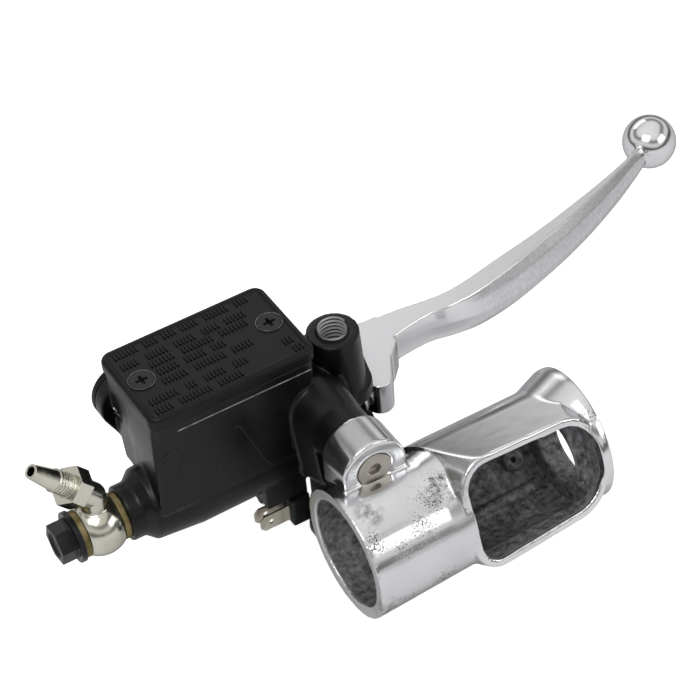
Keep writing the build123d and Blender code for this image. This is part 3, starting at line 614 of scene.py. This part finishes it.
# Each grained finish: its dark and light tones, its lowest and highest roughness, and what else sets it apart
GRAINED = {
    "black_casting": dict(
        dark=(0.0022, 0.0022, 0.0025), light=(0.005, 0.005, 0.0055), rough=(0.26, 0.38),
        pitch=500.0, cloud=55.0, bump=0.10, marks=0.16, mark_colour=(0.05, 0.05, 0.05), sheen=0.30,
    ),
    "black_moulding": dict(
        dark=(0.003, 0.003, 0.0034), light=(0.006, 0.006, 0.0065), rough=(0.36, 0.46),
        pitch=1400.0, cloud=70.0, bump=0.12, marks=0.10, mark_colour=(0.04, 0.04, 0.04), sheen=0.24,
    ),
    "black_rubber": dict(
        dark=(0.010, 0.010, 0.010), light=(0.018, 0.018, 0.018), rough=(0.6, 0.75),
        pitch=1200.0, cloud=90.0, bump=0.15, sheen=0.30,
    ),
    "black_screws": dict(
        dark=(0.008, 0.008, 0.009), light=(0.014, 0.014, 0.015), rough=(0.34, 0.46),
        pitch=1600.0, cloud=200.0, marks=0.3, mark_colour=(0.10, 0.10, 0.10), sheen=0.35,
    ),
    "black_steel": dict(
        dark=(0.006, 0.006, 0.007), light=(0.014, 0.014, 0.016), rough=(0.28, 0.42), metallic=0.2,
        pitch=1300.0, cloud=160.0, bump=0.14, marks=0.3, mark_colour=(0.12, 0.12, 0.12), sheen=0.35,
    ),
    # Light grey for thin lines on edges: a painted highlight where the edges catch the light
    "painted_edge_highlight": dict(
        dark=(0.12, 0.12, 0.12), light=(0.30, 0.30, 0.30), rough=(0.4, 0.6), metallic=0.1,
        pitch=1500.0, cloud=400.0,
    ),
    "plain_plate": dict(
        dark=(0.58, 0.58, 0.60), light=(0.72, 0.72, 0.73), rough=(0.3, 0.42), metallic=1.0,
        cloud=120.0, bump=0.05,
    ),
    "stainless": dict(
        dark=(0.46, 0.46, 0.47), light=(0.60, 0.60, 0.61), rough=(0.22, 0.36), metallic=1.0,
        pitch=1200.0, cloud=150.0, bump=0.05,
    ),
    "washer_copper": dict(
        dark=(0.16, 0.13, 0.055), light=(0.30, 0.24, 0.12), rough=(0.36, 0.55), metallic=1.0,
        cloud=260.0, bump=0.12, marks=0.3, mark_colour=(0.42, 0.36, 0.24),
    ),
    "zinc_plate": dict(
        dark=(0.60, 0.585, 0.49), light=(0.71, 0.70, 0.62), rough=(0.12, 0.26), metallic=1.0,
        pitch=700.0, cloud=130.0, bump=0.06, marks=0.25, mark_colour=(0.33, 0.33, 0.30),
    ),
    "bronze": dict(
        dark=(0.42, 0.27, 0.12), light=(0.55, 0.37, 0.17), rough=(0.3, 0.45), metallic=1.0,
        cloud=200.0, bump=0.05,
    ),
    "titanium_grey": dict(
        dark=(0.40, 0.37, 0.33), light=(0.54, 0.51, 0.46), rough=(0.28, 0.42), metallic=1.0,
        pitch=1500.0, cloud=150.0, marks=0.35, mark_colour=(0.25, 0.22, 0.19),
    ),
    "tinned_brass": dict(
        dark=(0.50, 0.46, 0.36), light=(0.74, 0.70, 0.60), rough=(0.24, 0.42), metallic=1.0,
        pitch=800.0, cloud=240.0, bump=0.06, marks=0.3, mark_colour=(0.30, 0.25, 0.15),
    ),
}


def make_finishes(scene):
    """Every material of the piece."""
    GROUPS.update(grain=grain_group(), scratches=scratch_group(), brushing=brush_group())
    for name, settings in GRAINED.items():
        FINISHES[name] = grained_finish(name, **settings)
    polish = scene.cylinder_polish
    FINISHES["polished_housing"] = housing_finish(polish)
    FINISHES["polished_lever"] = lever_finish(polish)
    FINISHES["mirror_thread"] = thread_finish()
    FINISHES["clear_lens"] = glass_finish()


def finish_nodes():
    """Every CAD node that stays in view gets its slot's finish."""
    for part in frame["record"]["subparts"]:
        shown = frame["nodes"][part["node"]]
        shown.data.materials.clear()
        shown.data.materials.append(FINISHES[part["material_slot"]])
        for polygon in shown.data.polygons:
            polygon.material_index = 0


# ---------------------------------------------------------------- pieces


def paint(mesh, name, value_of):
    """Stores a number from 0 to 1 on each vertex, from its place and its normal."""
    attribute = mesh.attributes.new(name, "FLOAT", "POINT")
    attribute.data.foreach_set("value", [value_of(v.co, v.normal) for v in mesh.vertices])


def step(value, low, high):
    """0 below low, 1 above high, and a straight line between."""
    return min(max((value - low) / (high - low), 0.0), 1.0)


class CYL_OT_casting(bpy.types.Operator):
    """The black cast body with its flash lines and the mirror thread"""

    bl_idname = "cylinder.casting"
    bl_label = "Cast body"

    def execute(self, context):
        cast = context.scene.cylinder_casting
        soften_node("cylinder_body", "cast_body", "black_casting", cast.skin, cast.softness)
        self.flash_lines(cast.flash)
        self.mirror_thread(cast.thread_pitch)
        return {"FINISHED"}

    def flash_lines(self, radius):
        """Thin raised lines where the mould's halves met, and the edge of a relief panel."""

        def wall(x, z):
            if z > PANEL_TOP_Z:
                lean = WALL_TILT * (WALL_TOP_Z - z)
            else:
                lean = PANEL_STEP - PANEL_TILT * (PANEL_TOP_Z - z)
            return (x * MM, (WALL_TOP_Y + lean - FLASH_SUNK) * MM, z * MM)

        lines = {
            "flash_rim": ((-34, 43.9), (-20, 43.9), (-8, 43.9), (4, 43.9), (13.6, 43.9)),
            "flash_slope": ((-15.4, 34.6), (-13.4, 34.4), (-10.6, 27), (-7.2, 18), (-4.4, 12.9)),
            "flash_panel": ((-40.6, 36.2), (-34.4, 36.0), (-35.8, 26), (-37.6, 13.4)),
            "flash_shoulder": ((14.0, 38.4), (7.4, 36.0), (4.4, 31.0), (3.4, 24.0), (3.4, 16.0)),
        }
        for name, points in lines.items():
            bm = bmesh.new()
            add_tube(bm, smooth_rows([wall(x, z) for x, z in points], 6), radius)
            # The rim line is light grey, a painted highlight along the panel's edge; the other lines stay black
            finish = "painted_edge_highlight" if name == "flash_rim" else "black_screws"
            add_piece(name, mesh_from(bm, name), "black_casting", finish=finish)

    def mirror_thread(self, pitch):
        """The cut thread inside the mirror boss."""
        bm = bmesh.new()
        crest_r, root_r = 4.35 * MM, 4.97 * MM
        # One groove, as shares of the pitch and radii
        profile = ((0.0, root_r), (0.14, root_r), (0.44, crest_r), (0.62, crest_r), (0.92, root_r))
        count, turns = 56, 10
        top = MIRROR_TOP - 0.9 * MM
        columns, crest = [], []
        for i in range(count * turns + 1):
            angle = 2 * math.pi * i / count
            out = Vector((math.cos(angle), math.sin(angle), 0))
            axis = Vector((MIRROR_X, BORE_Y, top - pitch * i / count))
            columns.append([bm.verts.new(axis + out * r - AXIS_Z * (share * pitch)) for share, r in profile])
            crest += [float(r == crest_r) for share, r in profile]
        for a, b in zip(columns, columns[1:]):
            for k in range(len(profile) - 1):
                bm.faces.new((a[k], a[k + 1], b[k + 1], b[k]))
        for i in range(count * (turns - 1)):
            a, b, c, d = columns[i], columns[i + 1], columns[i + count], columns[i + count + 1]
            bm.faces.new((a[-1], c[0], d[0], b[-1]))
        mesh = bpy.data.meshes.new("mirror_thread")
        bm.to_mesh(mesh)
        bm.free()
        mesh.attributes.new("crest", "FLOAT", "POINT").data.foreach_set("value", crest)
        add_piece("mirror_thread", mesh, "plain_plate", finish="mirror_thread")


class CYL_OT_cap(bpy.types.Operator):
    """The reservoir cap with rows of raised ribs, and its two screws"""

    bl_idname = "cylinder.cap"
    bl_label = "Reservoir cap"

    def execute(self, context):
        cap = context.scene.cylinder_cap
        rim = 2.0 * MM
        pocket = bmesh.new()
        add_box(
            pocket, (CAP_LOW.x + rim, CAP_LOW.y + rim, CAP_HIGH.z - POCKET_DEPTH),
            (CAP_HIGH.x - rim, CAP_HIGH.y - rim, CAP_HIGH.z + rim),
        )
        soften_node("reservoir_cap", "cap_moulding", "black_moulding", 0.26 * MM, 4, (pocket,))
        self.ribs(cap)
        soften_node("cap_screws", "cap_screw_pair", "black_screws", 0.14 * MM, 2)
        self.screw_rim("screw_rim_1", -35.6)
        self.screw_rim("screw_rim_2", 10.0)
        return {"FINISHED"}

    def screw_rim(self, name, x):
        """A painted highlight: a thin light grey ring round the edge of a cap screw's seat."""
        centre = Vector((x * MM, 56.0 * MM, CAP_HIGH.z - 0.10 * MM))
        rings = []
        for i in range(64):
            angle = 2 * math.pi * i / 64
            out = Vector((math.cos(angle), math.sin(angle), 0))
            rings.append(circle_points(centre + out * 4.32 * MM, out, AXIS_Z, 0.09 * MM, 6))
        bm = bmesh.new()
        add_ring_loft(bm, rings, closed_loop=True)
        add_piece(name, mesh_from(bm, "screw_rim"), "black_screws", finish="painted_edge_highlight")

    def ribs(self, cap):
        """Rows of short raised ribs on the cap's top, in groups, with no letters in them."""
        # Each row's Y, and each group's first X and count of ribs
        rows = (
            (70.2, ((-38.4, 7), (-27.6, 4), (-21.0, 4), (-14.6, 5), (-6.0, 7), (5.0, 4))),
            (64.6, ((-38.4, 5), (-29.4, 6), (-19.6, 6), (-9.6, 5), (-1.4, 6))),
            (60.6, ((-30.4, 7), (-19.0, 9), (-5.4, 8))),
            (56.3, ((-29.8, 6), (-20.2, 6), (-10.6, 4))),
            (51.6, ((-30.4, 7), (-19.2, 9), (-5.8, 6))),
            (45.4, ((-38.2, 8), (-25.4, 3), (-19.0, 6), (-8.6, 4), (9.0, 3))),
            (40.8, ((-38.6, 5), (-30.0, 9), (-16.4, 7), (10.2, 3))),
        )
        bm = bmesh.new()
        top = CAP_HIGH.z - POCKET_DEPTH
        for y, groups in rows:
            for x0, count in groups:
                for k in range(count):
                    x = (x0 + 0.4) * MM + k * cap.rib_pitch
                    self.rib(bm, x, y * MM, top, cap)
        add_piece("cap_ribs", mesh_from(bm, "cap_ribs"), "black_moulding", crease=30)

    def rib(self, bm, x, y, top, cap):
        """One rib with drafted sides."""
        half_w, half_l = cap.rib_width / 2, cap.rib_length / 2
        rings = []
        for shrink, z in ((0.0, top - 0.2 * MM), (0.0, top), (0.10 * MM, top + cap.rib_height)):
            w, l = half_w - shrink, half_l - shrink
            corners = ((-1, -1), (1, -1), (1, 1), (-1, 1))
            rings.append([Vector((x + sx * w, y + sy * l, z)) for sx, sy in corners])
        add_ring_loft(bm, rings)


class CYL_OT_sight_glass(bpy.types.Operator):
    """The sight glass in the far wall"""

    bl_idname = "cylinder.sight_glass"
    bl_label = "Sight glass"

    def execute(self, context):
        soften_node("sight_glass_bezel", "sight_bezel", "black_moulding", 0.22 * MM, 3)
        soften_node("sight_glass_lens", "sight_lens", "clear_lens", 0.22 * MM, 3)
        return {"FINISHED"}


class CYL_OT_banjo(bpy.types.Operator):
    """The plated hose fitting, its washers and its black bolt"""

    bl_idname = "cylinder.banjo"
    bl_label = "Hose fitting"

    def execute(self, context):
        soften_node("banjo_fitting", "banjo_eye", "zinc_plate", 0.22 * MM, 8)
        soften_node("hose_nipple", "nipple", "zinc_plate", 0.11 * MM, 2)
        soften_node("inner_washer", "washer_inner", "washer_copper", 0.14 * MM, 3)
        soften_node("outer_washer", "washer_outer", "washer_copper", 0.14 * MM, 3)
        recess = bmesh.new()
        cone = ((-1.0, 4.7), (0.1, 4.5), (0.8, 3.9))
        lathe_x(recess, [(BOLT_END_X + x * MM, r * MM) for x, r in cone], BORE_Y, BORE_Z, 48)
        soften_node("banjo_bolt", "bolt", "black_steel", 0.18 * MM, 3, (recess,))
        return {"FINISHED"}


class CYL_OT_bore_parts(bpy.types.Operator):
    """The return spring and the dust boot"""

    bl_idname = "cylinder.bore_parts"
    bl_label = "Spring and boot"

    def execute(self, context):
        travel = next(j for j in frame["joints"] if j["name"] == "piston_slide")["range_m"][1]
        self.spring(travel)
        self.boot(travel)
        return {"FINISHED"}

    def spring(self, travel):
        """A coil with closed turns at both ends."""
        wire, coil, turns, per_turn = 0.6 * MM, 5.2 * MM, 9, 28
        start, end = SPRING_LOW.x + wire, SPRING_HIGH.x - wire
        # Where the wire has got to along the spring after so many turns
        climb = ((0.0, 0.0), (0.9, 0.055), (8.1, 0.945), (9.0, 1.0))
        points = []
        for i in range(turns * per_turn + 1):
            turn = i / per_turn
            for (t0, s0), (t1, s1) in zip(climb, climb[1:]):
                if t0 <= turn <= t1:
                    share = s0 + (s1 - s0) * (turn - t0) / (t1 - t0)
            angle = 2 * math.pi * turn
            across, up = coil * math.cos(angle), coil * math.sin(angle)
            points.append((start + share * (end - start), BORE_Y + across, BORE_Z + up))
        bm = bmesh.new()
        add_tube(bm, points, wire, 10)
        spring = add_piece("spring_coil", mesh_from(bm, "spring_coil"), "stainless", ("return_spring",))
        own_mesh(spring)

    def boot(self, travel):
        """A rubber boot with three folds that get smaller towards the lever."""
        x0, x1 = BOOT_LOW.x, BOOT_HIGH.x
        outer = [(x0, 8.3), (x0 + 1.2 * MM, 8.3), (x0 + 1.35 * MM, 6.0)]
        folds = 3
        fold = (x1 - x0 - 1.6 * MM) / folds
        for k in range(folds):
            a = x0 + 1.5 * MM + k * fold
            outer.append((a + fold * 0.1, 5.4 - 0.2 * k))
            outer.append((a + fold * 0.5, 6.9 - 0.45 * k))
            outer.append((a + fold * 0.9, 5.4 - 0.3 * k))
        inner = [(x1, 4.9), (x1, 3.95), (x0 + 1.5 * MM, 4.2), (x0, 5.4)]
        bm = bmesh.new()
        lathe_x(bm, [(x, r * MM) for x, r in outer + inner], BORE_Y, BORE_Z, 56, closed_loop=True)
        mesh = mesh_from(bm, "boot_bellows")
        boot = add_piece("boot_bellows", mesh, "black_rubber", ("dust_boot",), crease=50)
        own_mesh(boot)


# Along the lever, in millimetres: X, the Y of the blade's far and near edges, how far its near side bulges,
# and the heights of its top and bottom
BLADE = (
    (46.0, 73.6, 61.0, 0.3, 15.9, 4.2),
    (55.0, 73.7, 61.6, 0.4, 16.0, 3.9),
    (64.0, 73.3, 63.4, 0.7, 16.0, 3.2),
    (73.0, 71.9, 64.4, 0.9, 16.0, 2.4),
    (82.0, 71.2, 63.9, 1.5, 16.0, 1.1),
    (92.0, 72.4, 64.9, 2.7, 15.9, -0.5),
    (108.0, 76.1, 69.0, 3.9, 15.6, -1.9),
    (126.0, 80.2, 75.0, 4.5, 15.2, -2.0),
    (143.0, 84.9, 80.9, 4.3, 14.9, -1.0),
    (160.0, 90.2, 87.6, 3.6, 14.5, 0.6),
    (173.0, 95.0, 93.2, 2.8, 14.1, 2.6),
    (182.0, 99.4, 97.6, 2.4, 13.6, 4.8),
    (188.0, 103.2, 101.0, 1.6, 13.0, 6.4),
)


def blade_section(row, along):
    """A closed section of the lever's blade: flat top, crisp near edge, bulging near side."""
    x, far, near, bulge, top, bottom = row
    middle = (far + near) / 2
    width = far - near
    height = top - bottom
    across = Vector((-along.y, along.x, 0.0))
    half = width / 2
    shape = (
        (half - 0.5, 0.0), (0.0, 0.0), (-half + 0.25, 0.0), (-half - 0.05, -0.35),
        (-half - bulge * 0.55, -height * 0.22), (-half - bulge, -height * 0.50),
        (-half - bulge * 0.85, -height * 0.74), (-half - bulge * 0.25, -height * 0.93),
        (-half * 0.3, -height), (half * 0.5, -height * 0.97), (half + bulge * 0.12, -height * 0.80),
        (half + bulge * 0.22, -height * 0.45), (half + 0.1, -height * 0.12),
    )
    origin = Vector((x, middle, top))
    return [(origin + across * a + Vector((0, 0, b))) * MM for a, b in shape]


class CYL_OT_lever(bpy.types.Operator):
    """The polished lever with its brushed blade and ball end"""

    bl_idname = "cylinder.lever"
    bl_label = "Brake lever"

    def execute(self, context):
        polish = context.scene.cylinder_polish
        raw = welded_copy("lever")
        root_end = 57 * MM
        bmesh.ops.bisect_plane(
            raw, geom=raw.verts[:] + raw.edges[:] + raw.faces[:], plane_co=(root_end, 0, 0),
            plane_no=(1, 0, 0), clear_outer=True,
        )
        bmesh.ops.holes_fill(raw, edges=[e for e in raw.edges if e.is_boundary], sides=0)
        rows = smooth_rows(BLADE, 8)
        sections = []
        for i, row in enumerate(rows):
            before, after = rows[max(i - 1, 0)], rows[min(i + 1, len(rows) - 1)]
            sideways = (after[1] + after[2] - before[1] - before[2]) / 2
            along = Vector((after[0] - before[0], sideways, 0)).normalized()
            sections.append(blade_section(row, along))
        add_ring_loft(raw, sections)
        ball = bmesh.ops.create_uvsphere(raw, u_segments=64, v_segments=40, radius=BALL_R)
        ball_centre = Vector((LEVER_HIGH.x - BALL_R, LEVER_HIGH.y - BALL_R, 9.6 * MM))
        bmesh.ops.translate(raw, verts=ball["verts"], vec=ball_centre)
        mesh = cast_skin(raw, "lever_blade", polish.skin, 4)

        def off_ball(place):
            return step((place - ball_centre).length, BALL_R + 0.4 * MM, BALL_R + 2.7 * MM)

        def brushed(place, normal):
            return step(-normal.y, 0.2, 0.5) * step(place.x, 84 * MM, 98 * MM) * off_ball(place)

        def satin(place, normal):
            return step(normal.z, 0.75, 0.9) * off_ball(place)

        paint(mesh, "brushed", brushed)
        paint(mesh, "satin", satin)
        add_piece("lever_blade", mesh, "polished_lever", ("lever",), body="lever_arm")
        return {"FINISHED"}


class CYL_OT_pivot(bpy.types.Operator):
    """The pivot bolt and its nut"""

    bl_idname = "cylinder.pivot"
    bl_label = "Lever pivot"

    def execute(self, context):
        soften_node("pivot_bolt", "pivot_screw", "zinc_plate", 0.2 * MM, 3)
        soften_node("pivot_nut", "pivot_locknut", "zinc_plate", 0.2 * MM, 3)
        return {"FINISHED"}


# Where the polish is pitted or dull, as X, Y, Z and radius in millimetres
PITTED = (
    (27.0, -11.0, 19.0, 10.0), (20.0, -17.0, 15.0, 8.0), (12.0, -19.0, 12.0, 6.0), (31.0, -7.0, 20.5, 7.0),
    (24.0, -20.5, -8.0, 9.0), (10.0, -20.5, -10.0, 8.0), (3.0, -15.0, 17.0, 7.0), (84.0, -12.0, 22.0, 6.0),
)
SMUDGED = ((30.0, -9.0, 19.5, 7.0), (35.0, -11.0, 18.0, 6.0), (2.0, -21.0, -8.0, 7.0), (6.0, -8.0, 22.0, 6.0))


class CYL_OT_housing(bpy.types.Operator):
    """The polished housing, raw inside, with its screw bosses and screws"""

    bl_idname = "cylinder.housing"
    bl_label = "Handlebar housing"

    def execute(self, context):
        polish = context.scene.cylinder_polish
        raw = welded_copy("handlebar_housing")
        self.inner_bosses(raw)
        mesh = cast_skin(raw, "housing_shell", polish.skin, 7)
        # The window faces -Y and is tipped up
        lean = math.radians(20.0)
        outward = Vector((0, -math.cos(lean), math.sin(lean)))
        upward = Vector((0, math.sin(lean), math.cos(lean)))

        def raw_casting(place, normal):
            """Where the polish stops: the bore, the chamber behind the window, and the chamber's ledge."""
            flat = Vector((0, place.y, place.z))
            out, up = place.dot(outward), place.dot(upward)
            pod = step(place.x, 37 * MM, 39 * MM)
            reach = flat.length - pod * 7 * MM
            facing_in = step(-normal.dot(flat.normalized()), 0.15, 0.45)
            inside = facing_in * (1 - step(reach, 21.6 * MM, 23.2 * MM))
            walls = inside * step(place.x, 0.2 * MM, 0.9 * MM) * (1 - pod * step(out, 19.3 * MM, 20.4 * MM))
            before_end = 1 - step(place.x, 86.3 * MM, 86.8 * MM)
            chamber = pod * before_end * (1 - step(flat.length, 19.6 * MM, 20.2 * MM))
            within = step(up, -15 * MM, -14 * MM) * (1 - step(up, 17 * MM, 18.5 * MM))
            ledge = pod * within * step(out, 8 * MM, 10 * MM) * (1 - step(out, 13 * MM, 15 * MM))
            return max(walls, chamber, ledge)

        def spread(spots):
            """Full near the middle of each spot, and nothing past its radius."""

            def value_of(place, normal):
                return max(
                    1 - step((place - Vector((x, y, z)) * MM).length, r * 0.3 * MM, r * MM)
                    for x, y, z, r in spots
                )

            return value_of

        paint(mesh, "raw_casting", raw_casting)
        paint(mesh, "pitted", spread(PITTED))
        paint(mesh, "smudged", spread(SMUDGED))
        add_piece("housing_shell", mesh, "polished_housing", ("handlebar_housing",))
        soften_node("housing_screws", "socket_screws", "titanium_grey", 0.16 * MM, 2)
        return {"FINISHED"}

    def inner_bosses(self, bm):
        """Two screw bosses and a ridge on the pod's inner wall, each a short blind tube."""
        leaning, falling = Vector((0, 0.72, 0.69)), Vector((0, 0.69, -0.72))
        flare, hole_depth = 0.6 * MM, 2.2 * MM
        for centre, axis_u, axis_v, axis, radius, hole, length in (
            ((66.0, -1.0, -16.6), AXIS_X, AXIS_Y, -AXIS_Z, 3.6, 1.2, 4.0),
            ((71.0, 12.6, -9.6), AXIS_X, leaning, falling, 3.6, 1.0, 5.0),
            ((46.0, 5.0, -17.6), AXIS_Y, AXIS_Z, AXIS_X, 1.8, 0.4, 32.0),
        ):
            mouth = Vector(centre) * MM
            add_ring_loft(bm, [
                circle_points(mouth, axis_u, axis_v, radius * MM, 32),
                circle_points(mouth + axis * length * MM, axis_u, axis_v, radius * MM + flare, 32),
                circle_points(mouth + axis * hole_depth, axis_u, axis_v, hole * MM, 32),
                circle_points(mouth, axis_u, axis_v, hole * MM, 32),
            ], closed_loop=True)


class CYL_OT_switch(bpy.types.Operator):
    """The brake light switch under the barrel"""

    bl_idname = "cylinder.switch"
    bl_label = "Brake light switch"

    def execute(self, context):
        soften_node("switch_case", "switch_body", "black_moulding", 0.26 * MM, 3)
        soften_node("switch_terminals", "spade_blades", "tinned_brass", 0.14 * MM, 1)
        soften_node("switch_screw", "switch_fixing", "stainless", 0.14 * MM, 2)
        return {"FINISHED"}


class CYL_OT_stage(bpy.types.Operator):
    """The floor, the lights and the camera"""

    bl_idname = "cylinder.stage"
    bl_label = "Stage"

    def execute(self, context):
        scene = context.scene
        stage = scene.cylinder_stage
        self.floor(scene, stage)
        self.world(scene)
        self.lights(scene, stage)
        self.camera(scene, stage)
        return {"FINISHED"}

    def floor(self, scene, stage):
        """White paper just under the piece, with a glow that only the camera sees."""
        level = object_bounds()[0][2] - 0.2 * MM
        half = 3.0
        corners = ((-half, -half), (half, -half), (half, half), (-half, half))
        bm = bmesh.new()
        bm.faces.new([bm.verts.new((x, y, level)) for x, y in corners])
        floor = bpy.data.objects.new("floor", mesh_from(bm, "floor"))
        scene.collection.objects.link(floor)
        material, tree, shader = start_finish("floor_paper", 0.0, 0.9)
        paper = mix_colour(tree, noise(tree, object_place(tree), 3.0), (0.95, 0.95, 0.95), (0.97, 0.97, 0.97))
        tree.links.new(paper, shader.inputs["Base Color"])
        tree.links.new(paper, shader.inputs["Emission Color"])
        seen = tree.nodes.new("ShaderNodeLightPath").outputs["Is Camera Ray"]
        glow = math_node(tree, "MULTIPLY", seen, stage.glow)
        tree.links.new(glow, shader.inputs["Emission Strength"])
        floor.data.materials.append(material)
        floor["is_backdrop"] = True

    def world(self, scene):
        """A bright room for open surfaces, and a room with dark bands for the polish to mirror."""
        world = bpy.data.worlds.new("studio")
        scene.world = world
        world.use_nodes = True
        tree = world.node_tree
        background = tree.nodes["Background"]
        split = tree.nodes.new("ShaderNodeSeparateXYZ")
        tree.links.new(tree.nodes.new("ShaderNodeTexCoord").outputs["Generated"], split.inputs[0])
        height = map_range(tree, split.outputs["Z"], -1.0, 1.0)
        turn = math_node(tree, "ARCTAN2", split.outputs["Y"], split.outputs["X"])
        wave = math_node(tree, "SINE", math_node(tree, "MULTIPLY", turn, 3.0))
        sway = math_node(tree, "MULTIPLY", wave, 0.035)
        ramp = tree.nodes.new("ShaderNodeValToRGB")
        tree.links.new(math_node(tree, "ADD", height, sway), ramp.inputs["Fac"])
        # The mirrored room's brightness, from straight down to straight up
        bands = (
            (0.0, 0.60), (0.47, 0.50), (0.51, 0.12), (0.575, 0.07), (0.61, 0.62), (0.70, 0.90),
            (0.77, 0.34), (0.82, 0.22), (0.87, 0.85), (1.0, 0.98),
        )
        stops = ramp.color_ramp.elements
        stops[0].position, stops[-1].position = bands[0][0], bands[-1][0]
        for position, _ in bands[1:-1]:
            stops.new(position)
        for stop, (_, level) in zip(stops, bands):
            stop.color = (level, level, level, 1)
        mirrored = tree.nodes.new("ShaderNodeLightPath").outputs["Is Glossy Ray"]
        room = mix_colour(tree, mirrored, (0.52, 0.52, 0.53), ramp.outputs["Color"])
        tree.links.new(room, background.inputs["Color"])
        background.inputs["Strength"].default_value = 0.9

    def lights(self, scene, stage):
        """Three soft panels."""
        aim = Vector((50, 30, 10)) * MM
        # Each panel's place and size in metres, and its share of the key light's power
        for name, place, size, share in (
            ("key", (-0.35, -0.25, 0.75), (0.5, 0.4), 1.0),
            ("fill", (0.55, -0.55, 0.45), (0.5, 0.3), 0.5),
            ("rim", (0.15, 0.75, 0.5), (0.6, 0.25), 0.22),
        ):
            data = bpy.data.lights.new(name, "AREA")
            data.shape = "RECTANGLE"
            data.size, data.size_y = size
            data.energy = stage.key * share
            lamp = bpy.data.objects.new(name, data)
            lamp.location = place
            lamp.rotation_euler = (aim - Vector(place)).to_track_quat("-Z", "Y").to_euler()
            scene.collection.objects.link(lamp)

    def camera(self, scene, stage):
        """The camera, in front of and above the rider's side."""
        data = bpy.data.cameras.new("camera")
        data.sensor_width = 36.0
        data.lens = stage.lens
        data.clip_start, data.clip_end = 0.01, 20.0
        camera = bpy.data.objects.new("camera", data)
        place = Vector((-0.2402, -0.5023, 0.5998))
        right = Vector((0.8573, -0.5086, -0.0802))
        up = Vector((0.3976, 0.5549, 0.7307))
        ahead = Vector((0.3272, 0.6583, -0.6779))
        turn = Matrix((right, up, -ahead)).transposed().to_quaternion()
        camera.matrix_world = Matrix.Translation(place) @ turn.to_matrix().to_4x4()
        scene.collection.objects.link(camera)
        scene.camera = camera
        scene.view_settings.view_transform = "Standard"


class CYL_PT_panel(bpy.types.Panel):
    """The master cylinder's pieces and settings"""

    bl_label = "Master cylinder"
    bl_space_type = "VIEW_3D"
    bl_region_type = "UI"
    bl_category = "Master cylinder"

    def draw(self, context):
        for group in SETTINGS:
            box = self.layout.box()
            settings = getattr(context.scene, group)
            for name in settings.bl_rna.properties.keys():
                if name not in ("rna_type", "name"):
                    box.prop(settings, name)
        for operator in OPERATORS:
            self.layout.operator(operator.bl_idname)


SETTINGS = {
    "cylinder_casting": CastingSettings,
    "cylinder_cap": CapSettings,
    "cylinder_polish": PolishSettings,
    "cylinder_stage": StageSettings,
}
OPERATORS = (
    CYL_OT_casting, CYL_OT_cap, CYL_OT_sight_glass, CYL_OT_banjo, CYL_OT_bore_parts,
    CYL_OT_lever, CYL_OT_pivot, CYL_OT_housing, CYL_OT_switch, CYL_OT_stage,
)


def register():
    """Adds the settings, operators and panel."""
    for group, settings in SETTINGS.items():
        bpy.utils.register_class(settings)
        setattr(bpy.types.Scene, group, bpy.props.PointerProperty(type=settings))
    for operator in OPERATORS:
        bpy.utils.register_class(operator)
    bpy.utils.register_class(CYL_PT_panel)


def unregister():
    """Takes them away again."""
    bpy.utils.unregister_class(CYL_PT_panel)
    for operator in reversed(OPERATORS):
        bpy.utils.unregister_class(operator)
    for group, settings in SETTINGS.items():
        delattr(bpy.types.Scene, group)
        bpy.utils.unregister_class(settings)


def main():
    """Makes every piece in order."""
    register()
    make_finishes(bpy.context.scene)
    finish_nodes()
    bpy.ops.cylinder.casting()
    bpy.ops.cylinder.cap()
    bpy.ops.cylinder.sight_glass()
    bpy.ops.cylinder.banjo()
    bpy.ops.cylinder.bore_parts()
    bpy.ops.cylinder.lever()
    bpy.ops.cylinder.pivot()
    bpy.ops.cylinder.housing()
    bpy.ops.cylinder.switch()
    bpy.ops.cylinder.stage()


if __name__ == "__main__":
    main()
